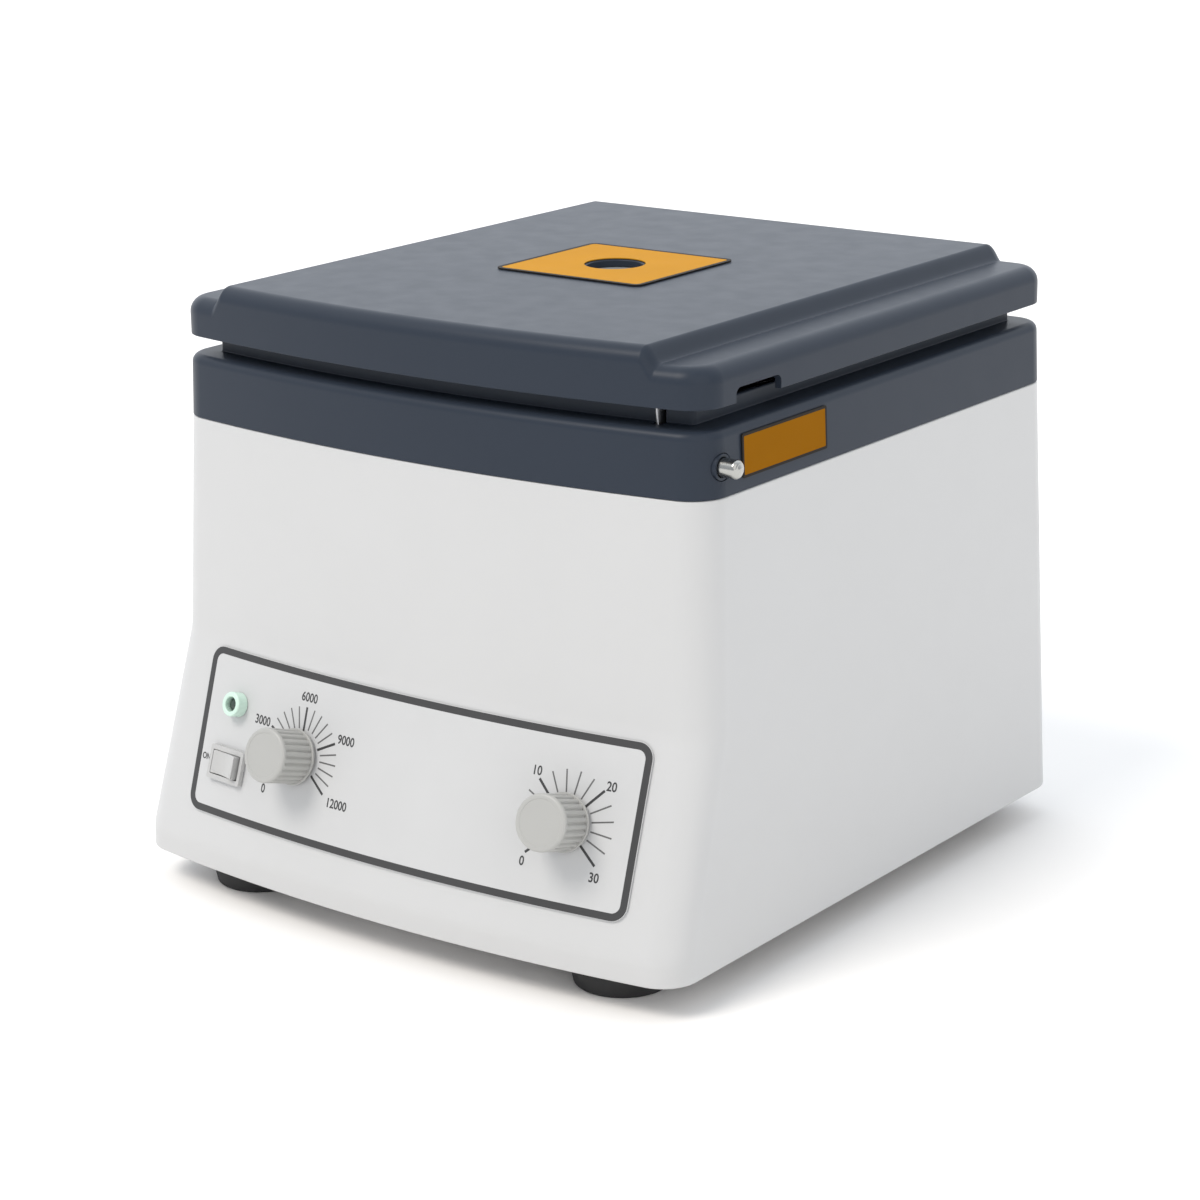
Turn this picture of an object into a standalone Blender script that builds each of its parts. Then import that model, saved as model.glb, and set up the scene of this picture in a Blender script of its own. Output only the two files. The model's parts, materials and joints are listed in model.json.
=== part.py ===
"""A hematocrit centrifuge: a small bench centrifuge for blood capillaries, built up from its separate pieces.

Lengths are metres. In the design frame X runs to the right, Y to the back and Z up. Y = 0 is the front
corner of the housing at its top edge, and Z = 0 is the bench. The root empty carries every piece and puts
the origin of the world under the middle of the whole object.
"""

import collections
import math

import bmesh
import bpy
import numpy
from mathutils import Matrix, Vector

# Clearances, cuts and shading
GAP = 0.0003
SEAM_GAP = 0.00015
OVERRUN = 0.003
SMOOTH_DEG = 35
CORNER_STEPS = 3
BEND_STEPS = 2
EDGE_STEPS = 3
ROUND_STEPS = 48
SMALL_STEPS = 20
PIN_STEPS = 12
SCREW_MERGE = 0.00001
CAP_WELD = 0.000001

# Housing: upright above, sloped at the control panel, with a short upright toe below
FOOT_HEIGHT = 0.0145
SEAM_HEIGHT = 0.2067
SEAM_HALF_WIDTH = 0.140
BASE_SPREAD = 0.0066
SEAM_DEPTH_LESS = 0.0077
REAR_SPREAD = 0.0039
STEP_HEIGHT = 0.1105
STEP_REACH = 0.0041
STEP_RADIUS = 0.030
TOE_HEIGHT = 0.025
TOE_REACH = 0.031
TOE_RADIUS = 0.018
FRONT_BOW = 0.0097
FRONT_RADIUS = 0.0165
REAR_RADIUS = 0.0146
LEAST_CORNER = 0.001
FRONT_PARTS = 12
WALL = 0.003
VENT_COUNT = 10
VENT_WIDTH = 0.003
VENT_LENGTH = 0.045
VENT_PITCH = 0.008
VENT_HEIGHT = 0.130

# Base plate, its screws in the housing's bosses, and the feet
PLATE_THICKNESS = 0.002
BOSS_RADIUS = 0.005
BOSS_BITE = 0.0008
BOSS_BORE = 0.0022
BOSS_LENGTH = 0.023
BOSS_FRONT_INSET = 0.071
BOSS_REAR_INSET = 0.046
SCREW_RADIUS = 0.0019
SCREW_LENGTH = 0.0115
SCREW_HEAD_RADIUS = 0.0038
SCREW_HEAD_HEIGHT = 0.002
FOOT_RADIUS = 0.022
FOOT_BOTTOM_RADIUS = 0.0205
FOOT_EDGE = 0.0008
FOOT_STEM_RADIUS = 0.0035
FOOT_HEAD_RADIUS = 0.006
FOOT_HEAD_HEIGHT = 0.003
FOOT_SIDE_INSET = 0.0466
FOOT_FRONT_INSET = 0.030
FOOT_REAR_INSET = 0.028

# Top cover: the band above the seam, its deck and the raised rim
BAND_HEIGHT = 0.0273
BAND_DRAFT = 0.00093
DECK_EDGE = 0.004
RIM_INSET = 0.013
RIM_WALL = 0.003
RIM_HEIGHT = 0.007

# Lid: a skirt, low shoulders at the sides and a raised field between them
LID_GAP = 0.0085
SHOULDER_HEIGHT = 0.0165
FIELD_RISE = 0.007
SHOULDER_WIDTH = 0.030
FIELD_SLOPE = 0.007
SLOPE_SHARES = ((0, 1), (0.2, 0.92), (0.5, 0.5), (0.8, 0.08), (1, 0))
LID_PARTS = 8
LID_EDGE = 0.007
NOTCH_NEAR = 0.0247
NOTCH_FAR = 0.0561
NOTCH_HEIGHT = 0.0061
NOTCH_RADIUS = 0.003
SIGHT_RADIUS = 0.0125
LID_LABEL_WIDTH = 0.078
LID_LABEL_DEPTH = 0.072
LABEL_CORNER = 0.004
LABEL_THICKNESS = 0.0004
LABEL_HOLE_MARGIN = 0.001
LINER_THICKNESS = 0.002
WINDOW_RADIUS = 0.017
WINDOW_THICKNESS = 0.003
COLLAR_INNER_RADIUS = 0.0145
COLLAR_OUTER_RADIUS = 0.0190

# The chamber's axis lies a little in front of the middle of the lid
AXIS_OFFSET = 0.003

# Chamber bowl under the deck, with the gasket that the lid's liner presses on
BOWL_RIM_PLAY = 0.00607
BOWL_SHEET = 0.0012
BOWL_DEPTH = 0.050
BOWL_CORNER = 0.006
BOWL_FLANGE = 0.007
BOWL_HOLE_RADIUS = 0.014
BOWL_PLAY = 0.0005
GASKET_WIDTH = 0.005
GASKET_INSET = 0.0015

# Motor on rubber dampers
MOTOR_RADIUS = 0.044
MOTOR_PLAY = 0.012
MOTOR_EDGE = 0.004
MOTOR_PLATE_MARGIN = 0.014
MOTOR_PLATE_THICKNESS = 0.003
MOTOR_PLATE_HOLE = 0.006
DAMPER_RADIUS = 0.012
DAMPER_WAIST = 0.0095
DAMPER_HEIGHT = 0.0279
DAMPER_INSET = 0.052
DAMPER_COUNT = 3
SHAFT_RADIUS = 0.004
SHAFT_CLEARANCE = 0.0003
SHAFT_INSET = 0.002

# Rotor: a disc with radial slots for the capillaries, a rubber ring at its rim, a cover and a nut
ROTOR_DROP = 0.031
ROTOR_PLAY = 0.0088
ROTOR_THICKNESS = 0.007
ROTOR_RIM = 0.004
ROTOR_RIM_RISE = 0.003
GROOVE_WIDTH = 0.003
GROOVE_DEPTH = 0.004
HUB_RADIUS = 0.016
HUB_RISE = 0.002
LOWER_HUB_RADIUS = 0.012
LOWER_HUB_DROP = 0.005
SLOT_COUNT = 24
SLOT_WIDTH = 0.002
SLOT_DEPTH = 0.004
SLOT_HUB_MARGIN = 0.002
SLOT_GROOVE_REACH = 0.001
ROTOR_COVER_INSET = 0.002
ROTOR_COVER_THICKNESS = 0.002
NUT_RADIUS = 0.014
NUT_HEIGHT = 0.0144
NUT_EDGE = 0.0015
NUT_CROWN = 0.003
NUT_GRIPS = 12
NUT_GRIP_DEPTH = 0.0012
SHAFT_TOP_PLAY = 0.001

# Control panel: a thin curved plate with the knobs, the rocker and the indicator
PANEL_INSET = 0.0208
PANEL_SHIFT = 0.0025
PANEL_LENGTH = 0.0729
PANEL_CORNER = 0.007
PANEL_RISE = 0.048
PANEL_THICKNESS = 0.0006
PANEL_PARTS = 12
KNOB_LINE_DROP = 0.0008
SPEED_INSET = 0.0617
TIMER_INSET = 0.0341
KNOB_RADIUS = 0.0122
KNOB_HEIGHT = 0.0185
KNOB_STANDOFF = 0.0012
KNOB_COLLAR_HEIGHT = 0.0012
KNOB_COLLAR_STEP = 0.0004
KNOB_EDGE = 0.0012
KNOB_FACE_RIM = 0.0026
KNOB_RECESS_RADIUS = 0.0075
KNOB_TOP_WALL = 0.003
FLUTE_COUNT = 24
FLUTE_DEPTH = 0.0007
CONTROL_BUSH_RADIUS = 0.0047
CONTROL_NUT_RADIUS = 0.0068
CONTROL_NUT_HEIGHT = 0.0022
CONTROL_SHAFT_RADIUS = 0.003
POT_RADIUS = 0.012
POT_DEPTH = 0.0097
TIMER_SIDE = 0.044
TIMER_DEPTH = 0.030
TIMER_PLAY = 0.0005
SWITCH_INSET = 0.0217
SWITCH_DROP = 0.0126
SWITCH_FRAME_WIDTH = 0.021
SWITCH_FRAME_HEIGHT = 0.015
SWITCH_FRAME_THICKNESS = 0.002
SWITCH_FRAME_EDGE = 0.0006
SWITCH_BODY_WIDTH = 0.0188
SWITCH_BODY_HEIGHT = 0.0128
SWITCH_DEPTH = 0.016
SWITCH_WALL = 0.0005
SWITCH_SIDE_WALL = 0.001
SWITCH_WELL = 0.005
ROCKER_HALF_LENGTH = 0.0082
ROCKER_FOOT_HALF_LENGTH = 0.0074
ROCKER_END_RISE = 0.0032
ROCKER_MIDDLE_RISE = 0.0016
ROCKER_FOOT_DROP = 0.003
ROCKER_MIDDLE_DROP = 0.004
ROCKER_PIVOT = 0.0016
ROCKER_REST_DEG = 9
INDICATOR_INSET = 0.0222
INDICATOR_LIFT = 0.013
INDICATOR_RADIUS = 0.005
INDICATOR_RISE = 0.0052
INDICATOR_EDGE = 0.0006
INDICATOR_RECESS = 0.00325
INDICATOR_RECESS_DEPTH = 0.0028
INDICATOR_BARREL = 0.004
INDICATOR_DEPTH = 0.012
LENS_DOME = 0.0012
LENS_LENGTH = 0.006

# Side label and the latch behind it
SIDE_LABEL_NEAR = 0.0273
SIDE_LABEL_LENGTH = 0.0604
SIDE_LABEL_HEIGHT = 0.0178
SIDE_LABEL_RISE = 0.0053
SIDE_LABEL_CORNER = 0.001
LATCH_Y = 0.0147
PIN_RISE = 0.0124
PIN_RADIUS = 0.0039
PIN_REACH = 0.0087
PIN_SHOULDER_INSET = 0.0086
PIN_COLLAR_RADIUS = 0.006
PIN_COLLAR = 0.002
PIN_ROD_RADIUS = 0.0025
BUSH_WALL = 0.0012
BUSH_FLANGE_RADIUS = 0.0064
BUSH_FLANGE = 0.0015
SPRING_RADIUS = 0.0036
SPRING_WIRE = 0.0004
SPRING_TURNS = 5
SPRING_POINTS = 8
BRACKET_SHEET = 0.0015
BRACKET_FRONT_REACH = 0.0077
BRACKET_INSET = 0.023
BRACKET_FLANGE = 0.013
BRACKET_CHEEK = 0.019
BRACKET_CHEEK_HEIGHT = 0.012
BRACKET_BELOW_PIVOT = 0.005
HOOK_THICKNESS = 0.003
HOOK_PIVOT_OFFSET = 0.008
HOOK_PIVOT_DROP = 0.0126
HOOK_PIVOT_RADIUS = 0.0015
HOOK_EYE_RADIUS = 0.0045
HOOK_BACK_OFFSET = 0.009
HOOK_FACE_OFFSET = 0.003
HOOK_NOSE_REACH = 0.003
HOOK_NOSE_PLAY = 0.0005
HOOK_NOSE_HEIGHT = 0.0023
HOOK_CROWN = 0.0043
PIVOT_PIN_OVERHANG = 0.0005
STRIKER_OFFSET = 0.005
STRIKER_SHEET = 0.0015
STRIKER_HALF_WIDTH = 0.00525
STRIKER_DROP = 0.0205
STRIKER_FLANGE = 0.0098
STRIKER_WINDOW_HALF_WIDTH = 0.003
STRIKER_WINDOW_LOW = 0.0035
STRIKER_WINDOW_HEIGHT = 0.006
STRIKER_PLAY = 0.0015
LINER_SLOT_PLAY = 0.0004

# Two hinges behind the lid
HINGE_INSET = 0.055
HINGE_HALF_WIDTH = 0.015
HINGE_SHEET = 0.0015
HINGE_KNUCKLE_RADIUS = 0.004
HINGE_PIN_RADIUS = 0.002
HINGE_RISE = 0.0043
HINGE_MIDDLE_HALF_WIDTH = 0.0049
HINGE_BODY_LEAF_LOW = 0.020
HINGE_BODY_LEAF_HIGH = 0.001
HINGE_LID_LEAF_LOW = 0.0005
HINGE_LID_LEAF_HIGH = 0.0165

# Mains inlet with its fuse drawer, low on the back
INLET_INSET = 0.055
INLET_HEIGHT = 0.048
INLET_FLANGE_WIDTH = 0.032
INLET_FLANGE_HEIGHT = 0.042
INLET_FLANGE_THICKNESS = 0.0025
INLET_BODY_WIDTH = 0.027
INLET_BODY_HEIGHT = 0.036
INLET_DEPTH = 0.022
SOCKET_WIDTH = 0.0225
SOCKET_HEIGHT = 0.0155
SOCKET_DEPTH = 0.0168
SOCKET_RISE = 0.007
PRONG_WIDTH = 0.002
PRONG_HEIGHT = 0.0045
PRONG_LENGTH = 0.011
PRONG_SPREAD = 0.007
PRONG_LIFT = 0.002
DRAWER_WIDTH = 0.022
DRAWER_HEIGHT = 0.008
DRAWER_LENGTH = 0.012
DRAWER_DROP = 0.011
DRAWER_FRONT_WIDTH = 0.024
DRAWER_FRONT_HEIGHT = 0.0094
DRAWER_FRONT_THICKNESS = 0.0016
FUSE_RADIUS = 0.0025
FUSE_LENGTH = 0.020
FUSE_BACK = 0.0055

# Circuit board on the base plate, and the two leads inside the housing
BOARD_LEFT_INSET = 0.0226
BOARD_PLAY = 0.0058
BOARD_FRONT = 0.070
BOARD_DEPTH = 0.100
BOARD_THICKNESS = 0.0016
STANDOFF_RADIUS = 0.004
STANDOFF_HEIGHT = 0.0078
STANDOFF_INSET = 0.007
TRANSFORMER_MARGIN = 0.012
TRANSFORMER_DEPTH = 0.026
TRANSFORMER_HEIGHT = 0.017
CAPACITOR_RADIUS = 0.0065
CAPACITOR_HEIGHT = 0.017
HEAT_SINK_THICKNESS = 0.004
HEAT_SINK_HEIGHT = 0.016
LEAD_RADIUS = 0.002
LEAD_PARTS = 3
MAINS_LEAD_ROUTE = [
    (-0.088, 0.236, 0.034),
    (-0.105, 0.222, 0.0215),
    (-0.129, 0.190, 0.0195),
    (-0.1295, 0.140, 0.0195),
    (-0.1295, 0.090, 0.0195),
    (-0.129, 0.050, 0.0200),
    (-0.122, 0.020, 0.027),
    (-0.105, 0.004, 0.044),
]
MOTOR_LEAD_ROUTE = [
    (-0.082, 0.128, 0.036),
    (-0.081, 0.129, 0.048),
    (-0.076, 0.131, 0.060),
    (-0.060, 0.133, 0.064),
]

# Heights and places that follow from the sizes above
BASE_HALF_WIDTH = SEAM_HALF_WIDTH + BASE_SPREAD
SEAM_REAR = 2 * SEAM_HALF_WIDTH - SEAM_DEPTH_LESS
BASE_REAR = SEAM_REAR + REAR_SPREAD
PLATE_TOP = FOOT_HEIGHT + PLATE_THICKNESS
DECK_TOP = SEAM_HEIGHT + BAND_HEIGHT
COVER_BOTTOM = SEAM_HEIGHT + SEAM_GAP
LID_BOTTOM = DECK_TOP + LID_GAP
SHOULDER_TOP = LID_BOTTOM + SHOULDER_HEIGHT
FIELD_TOP = SHOULDER_TOP + FIELD_RISE
FIELD_HALF_WIDTH = SEAM_HALF_WIDTH - SHOULDER_WIDTH
AXIS_Y = SEAM_REAR / 2 - AXIS_OFFSET
BOWL_RADIUS = SEAM_HALF_WIDTH - BAND_DRAFT - RIM_INSET - RIM_WALL - BOWL_RIM_PLAY - BOWL_FLANGE
ROTOR_RADIUS = BOWL_RADIUS - BOWL_SHEET - ROTOR_PLAY
ROTOR_BOTTOM = DECK_TOP - ROTOR_DROP
ROTOR_TOP = ROTOR_BOTTOM + ROTOR_THICKNESS
PANEL_HALF_WIDTH = SEAM_HALF_WIDTH - PANEL_INSET
PANEL_HEIGHT = TOE_HEIGHT + PANEL_RISE
PANEL_FACE = GAP + PANEL_THICKNESS
PANEL_LEFT = PANEL_SHIFT - PANEL_HALF_WIDTH
KNOB_LINE = PANEL_HEIGHT - KNOB_LINE_DROP
SPEED_X = PANEL_LEFT + SPEED_INSET
TIMER_X = PANEL_SHIFT + PANEL_HALF_WIDTH - TIMER_INSET
SWITCH_X = PANEL_LEFT + SWITCH_INSET
SWITCH_HEIGHT = PANEL_HEIGHT - SWITCH_DROP
INDICATOR_X = PANEL_LEFT + INDICATOR_INSET
INDICATOR_HEIGHT = PANEL_HEIGHT + INDICATOR_LIFT
BRACKET_X = SEAM_HALF_WIDTH - BRACKET_INSET
STRIKER_X = BRACKET_X - STRIKER_OFFSET
HOOK_PIVOT_X = STRIKER_X - HOOK_PIVOT_OFFSET
HOOK_BACK_X = STRIKER_X - HOOK_BACK_OFFSET
HOOK_FACE_X = STRIKER_X - HOOK_FACE_OFFSET
HOOK_NOSE_X = STRIKER_X + HOOK_NOSE_REACH
PIN_HEIGHT = SEAM_HEIGHT + PIN_RISE
HOOK_PIVOT_HEIGHT = PIN_HEIGHT - HOOK_PIVOT_DROP
HINGE_X = SEAM_HALF_WIDTH - HINGE_INSET
HINGE_Y = SEAM_REAR - BAND_DRAFT + GAP + HINGE_KNUCKLE_RADIUS
HINGE_HEIGHT = DECK_TOP + HINGE_RISE
INLET_X = INLET_INSET - SEAM_HALF_WIDTH
DAMPER_CIRCLE = BOWL_RADIUS - DAMPER_INSET
MOTOR_PLATE_RADIUS = DAMPER_CIRCLE + MOTOR_PLATE_MARGIN
DAMPER_REACH = DAMPER_CIRCLE * math.cos(math.radians(30)) + DAMPER_RADIUS
BOARD_WIDTH = BASE_HALF_WIDTH - BOARD_LEFT_INSET - DAMPER_REACH - BOARD_PLAY
TRANSFORMER_WIDTH = BOARD_WIDTH - 2 * STANDOFF_INSET - TRANSFORMER_MARGIN

Plan = collections.namedtuple("Plan", "half front rear bow front_radius rear_radius")
Finish = collections.namedtuple("Finish", "colour roughness metallic")

FINISHES = {
    "white_plastic": Finish((0.72, 0.72, 0.71), 0.45, 0.0),
    "dark_plastic": Finish((0.058, 0.068, 0.093), 0.5, 0.0),
    "amber_label": Finish((0.78, 0.39, 0.03), 0.35, 0.0),
    "panel_film": Finish((0.70, 0.70, 0.69), 0.5, 0.0),
    "knob_plastic": Finish((0.60, 0.60, 0.57), 0.4, 0.0),
    "black_plastic": Finish((0.02, 0.02, 0.022), 0.5, 0.0),
    "black_rubber": Finish((0.015, 0.015, 0.016), 0.8, 0.0),
    "indicator_plastic": Finish((0.52, 0.77, 0.61), 0.3, 0.0),
    "clear_plastic": Finish((0.75, 0.80, 0.80), 0.08, 0.0),
    "aluminium": Finish((0.75, 0.75, 0.76), 0.35, 1.0),
    "steel": Finish((0.62, 0.62, 0.63), 0.3, 1.0),
    "circuit_board": Finish((0.02, 0.16, 0.07), 0.5, 0.0),
}


def new_collection(name):
    collection = bpy.data.collections.new(name)
    bpy.context.scene.collection.children.link(collection)
    return collection


def new_pivot(name, location, parent=None):
    pivot = bpy.data.objects.new(name, None)
    pivot.empty_display_size = PIN_RADIUS
    pivot.location = location
    pivot.parent = parent
    parts.objects.link(pivot)
    return pivot


def new_object(name, data):
    """An object among the helpers. It moves to the parts when it gets its finish and its parent."""
    obj = bpy.data.objects.new(name, data)
    helpers.objects.link(obj)
    obj.hide_render = True
    obj.display_type = "WIRE"
    return obj


def finished(obj, kind, parent, frame=Matrix.Identity(4)):
    """Makes the object a piece of the product: its material, its parent and its place under it."""
    finish = FINISHES[kind]
    material = bpy.data.materials.new(obj.name)
    material.use_nodes = True
    shader = material.node_tree.nodes["Principled BSDF"]
    shader.inputs["Base Color"].default_value = (*finish.colour, 1)
    shader.inputs["Roughness"].default_value = finish.roughness
    shader.inputs["Metallic"].default_value = finish.metallic
    material.diffuse_color = (*finish.colour, 1)
    obj.data.materials.clear()
    obj.data.materials.append(material)
    helpers.objects.unlink(obj)
    parts.objects.link(obj)
    obj.hide_render = False
    obj.display_type = "TEXTURED"
    obj.parent = parent
    obj.matrix_basis = frame
    return obj


def from_bmesh(name, shape):
    bmesh.ops.recalc_face_normals(shape, faces=shape.faces)
    mesh = bpy.data.meshes.new(name)
    shape.to_mesh(mesh)
    shape.free()
    return new_object(name, mesh)


def smooth(obj):
    obj.data.shade_smooth()
    obj.data.set_sharp_from_angle(angle=math.radians(SMOOTH_DEG))
    return obj


def box(name, low, high):
    """A box between two corners."""
    low, high = Vector(low), Vector(high)
    shape = bmesh.new()
    size = Matrix.Diagonal((*(high - low), 1))
    bmesh.ops.create_cube(shape, size=1, matrix=Matrix.Translation((low + high) / 2) @ size)
    return from_bmesh(name, shape)


def rod(name, radius, start, end, steps=SMALL_STEPS):
    """A cylinder between two points."""
    start, end = Vector(start), Vector(end)
    along = end - start
    turn = along.to_track_quat("Z", "Y").to_matrix().to_4x4()
    shape = bmesh.new()
    bmesh.ops.create_cone(
        shape,
        cap_ends=True,
        segments=steps,
        radius1=radius,
        radius2=radius,
        depth=along.length,
        matrix=Matrix.Translation((start + end) / 2) @ turn,
    )
    return smooth(from_bmesh(name, shape))


def turned(name, profile, closed=False, steps=ROUND_STEPS):
    """A profile of (radius, height), top to bottom down its outer side, turned about Z."""
    mesh = bpy.data.meshes.new(name)
    edges = [(place, place + 1) for place in range(len(profile) - 1)]
    if closed:
        edges.append((len(profile) - 1, 0))
    mesh.from_pydata([(radius, 0, height) for radius, height in profile], edges, [])
    obj = new_object(name, mesh)
    screw = obj.modifiers.new("Turn", "SCREW")
    screw.steps = steps
    screw.render_steps = steps
    screw.use_merge_vertices = True
    screw.merge_threshold = SCREW_MERGE
    screw.use_smooth_shade = False
    return obj


def ring_profile(inner, outer, low, high):
    return [(outer, high), (outer, low), (inner, low), (inner, high)]


def rounded_rectangle(width, height, radius, centre=(0, 0), steps=CORNER_STEPS):
    """Corner points of a rounded rectangle, anticlockwise."""
    points = []
    for turn, (side, level) in enumerate([(1, 1), (-1, 1), (-1, -1), (1, -1)]):
        for step in range(steps + 1):
            angle = math.radians(90) * (turn + step / steps)
            across = side * (width / 2 - radius) + radius * math.cos(angle)
            up = level * (height / 2 - radius) + radius * math.sin(angle)
            points.append((centre[0] + across, centre[1] + up))
    return points


def circle(radius, centre=(0, 0), steps=SMALL_STEPS):
    turns = [2 * math.pi * step / steps for step in range(steps)]
    return [(centre[0] + radius * math.cos(turn), centre[1] + radius * math.sin(turn)) for turn in turns]


def plate(name, outline, low, high, holes=()):
    """A flat outline in X and Y, with holes, extruded from one height to another and made a mesh."""
    curve = bpy.data.curves.new(name, "CURVE")
    curve.dimensions = "2D"
    curve.fill_mode = "BOTH"
    curve.extrude = (high - low) / 2
    for points in (outline, *holes):
        spline = curve.splines.new("POLY")
        spline.points.add(len(points) - 1)
        for point, (across, up) in zip(spline.points, points):
            point.co = (across, up, 0, 1)
        spline.use_cyclic_u = True
    guide = new_object(name + "_outline", curve)
    bpy.context.view_layer.update()
    mesh = bpy.data.meshes.new_from_object(guide.evaluated_get(bpy.context.evaluated_depsgraph_get()))
    shape = bmesh.new()
    shape.from_mesh(mesh)
    bmesh.ops.remove_doubles(shape, verts=shape.verts, dist=CAP_WELD)
    bmesh.ops.translate(shape, verts=shape.verts, vec=(0, 0, (low + high) / 2))
    bpy.data.meshes.remove(mesh)
    bpy.data.objects.remove(guide)
    return from_bmesh(name, shape)


def stand_along_y(obj, y=0):
    """Turns a plate drawn in X and Z so that it faces front, centred on y."""
    obj.data.transform(Matrix.Translation((0, y, 0)) @ Matrix.Rotation(math.radians(90), 4, "X"))
    return obj


def combine(obj, tool, operation):
    modifier = obj.modifiers.new(tool.name, "BOOLEAN")
    modifier.operation = operation
    modifier.solver = "EXACT"
    modifier.object = tool
    tool.parent = obj
    return obj


def cut(obj, *tools):
    for tool in tools:
        combine(obj, tool, "DIFFERENCE")
    return obj


def join(obj, *tools):
    for tool in tools:
        combine(obj, tool, "UNION")
    return obj


def moved(obj, frame):
    """Moves a helper's mesh into another frame."""
    obj.data.transform(frame)
    return obj


def bevelled(obj, width, steps=2):
    bevel = obj.modifiers.new("Edges", "BEVEL")
    bevel.width = width
    bevel.segments = steps
    bevel.limit_method = "ANGLE"
    return obj


def tube(name, points, radius, sides=2):
    """A round wire or lead along a list of points, with filled ends."""
    curve = bpy.data.curves.new(name, "CURVE")
    curve.dimensions = "3D"
    curve.bevel_depth = radius
    curve.bevel_resolution = sides
    curve.use_fill_caps = True
    spline = curve.splines.new("POLY")
    spline.points.add(len(points) - 1)
    for point, place in zip(spline.points, points):
        point.co = (*place, 1)
    return new_object(name, curve)


def rounded_path(corners, radii):
    """A polyline in two dimensions with an arc of its own radius at each inner corner."""
    path = [Vector(corners[0])]
    for before, corner, after, radius in zip(corners, corners[1:], corners[2:], radii):
        corner = Vector(corner)
        into = (corner - Vector(before)).normalized()
        out = (Vector(after) - corner).normalized()
        turn = into.angle(out)
        centre = corner + (out - into).normalized() * radius / math.cos(turn / 2)
        first = corner - into * radius * math.tan(turn / 2) - centre
        side = math.copysign(1, into.x * out.y - into.y * out.x)
        for step in range(BEND_STEPS + 1):
            path.append(centre + Matrix.Rotation(side * turn * step / BEND_STEPS, 2) @ first)
    path.append(Vector(corners[-1]))
    return path


# Plans: the outline of the casing at a height
def front_path():
    """The front corner's profile as (y, height), from the bench up."""
    corners = [
        (-TOE_REACH, FOOT_HEIGHT),
        (-TOE_REACH, TOE_HEIGHT),
        (-STEP_REACH, STEP_HEIGHT),
        (0, SEAM_HEIGHT),
    ]
    return rounded_path(corners, [TOE_RADIUS, STEP_RADIUS])


def housing_plan(height):
    path = front_path()
    share = (height - FOOT_HEIGHT) / (SEAM_HEIGHT - FOOT_HEIGHT)
    front = float(numpy.interp(height, [point.y for point in path], [point.x for point in path]))
    half = BASE_HALF_WIDTH + share * (SEAM_HALF_WIDTH - BASE_HALF_WIDTH)
    rear = BASE_REAR + share * (SEAM_REAR - BASE_REAR)
    return Plan(half, front, rear, FRONT_BOW, FRONT_RADIUS, REAR_RADIUS)


def inset(plan, depth):
    return Plan(
        plan.half - depth,
        plan.front + depth,
        plan.rear - depth,
        plan.bow,
        max(plan.front_radius - depth, LEAST_CORNER),
        max(plan.rear_radius - depth, LEAST_CORNER),
    )


def cover_plan(height):
    """The plan of the band under the lid, drawn in a little towards its top."""
    top = housing_plan(SEAM_HEIGHT)
    return inset(top, BAND_DRAFT * (height - SEAM_HEIGHT) / BAND_HEIGHT)


def bow_of(plan):
    """The bowed front between its corner arcs: half width, end, depth and the arcs' first angle."""
    flat = plan.half - plan.front_radius
    lean = math.atan(2 * plan.bow / flat)
    end = flat + plan.front_radius * math.sin(lean)
    start = plan.front + plan.front_radius * (1 - math.cos(lean))
    return end, start, end * math.tan(lean) / 2, lean


def front_y(x, plan):
    end, start, depth, _ = bow_of(plan)
    return start - depth * (1 - (x / end) ** 2)


def evenly(end, count):
    return [end * (2 * step / count - 1) for step in range(1, count)]


def outline(plan, front_places=None, rear_places=()):
    """The plan's points from the left end of the bowed front, anticlockwise seen from above."""
    end, _, _, lean = bow_of(plan)
    if front_places is None:
        front_places = evenly(end, FRONT_PARTS)
    points = [(x, front_y(x, plan)) for x in (-end, *front_places, end)]
    centre = Vector((plan.half - plan.front_radius, plan.front + plan.front_radius))
    front_arc = []
    for step in range(1, CORNER_STEPS + 1):
        angle = lean + (math.radians(90) - lean) * step / CORNER_STEPS
        front_arc.append(centre + plan.front_radius * Vector((math.sin(angle), -math.cos(angle))))
    centre = Vector((plan.half - plan.rear_radius, plan.rear - plan.rear_radius))
    rear_arc = []
    for step in range(CORNER_STEPS + 1):
        angle = math.radians(90) * step / CORNER_STEPS
        rear_arc.append(centre + plan.rear_radius * Vector((math.cos(angle), math.sin(angle))))
    points += [tuple(point) for point in front_arc + rear_arc]
    points += [(x, plan.rear) for x in reversed(rear_places)]
    points += [(-point.x, point.y) for point in reversed(rear_arc)]
    points += [(-point.x, point.y) for point in reversed(front_arc)]
    return points


def level(points, height):
    return [(x, y, height) for x, y in points]


def ring_surface(name, rings, fill_bottom=False, fill_top=False, closed=False):
    """A surface through rings of matching points, lower rings first. A closed one joins its two ends."""
    shape = bmesh.new()
    rows = [[shape.verts.new(point) for point in ring] for ring in rings]
    pairs = list(zip(rows, rows[1:]))
    if closed:
        pairs.append((rows[-1], rows[0]))
    for lower, upper in pairs:
        for place in range(len(lower)):
            after = (place + 1) % len(lower)
            shape.faces.new((lower[place], lower[after], upper[after], upper[place]))
    if fill_bottom:
        shape.faces.new(list(reversed(rows[0])))
    if fill_top:
        shape.faces.new(rows[-1])
    mesh = bpy.data.meshes.new(name)
    shape.to_mesh(mesh)
    shape.free()
    return smooth(new_object(name, mesh))


def shell(obj, thickness):
    solidify = obj.modifiers.new("Wall", "SOLIDIFY")
    solidify.thickness = thickness
    solidify.offset = -1
    solidify.use_even_offset = True
    return obj


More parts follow.
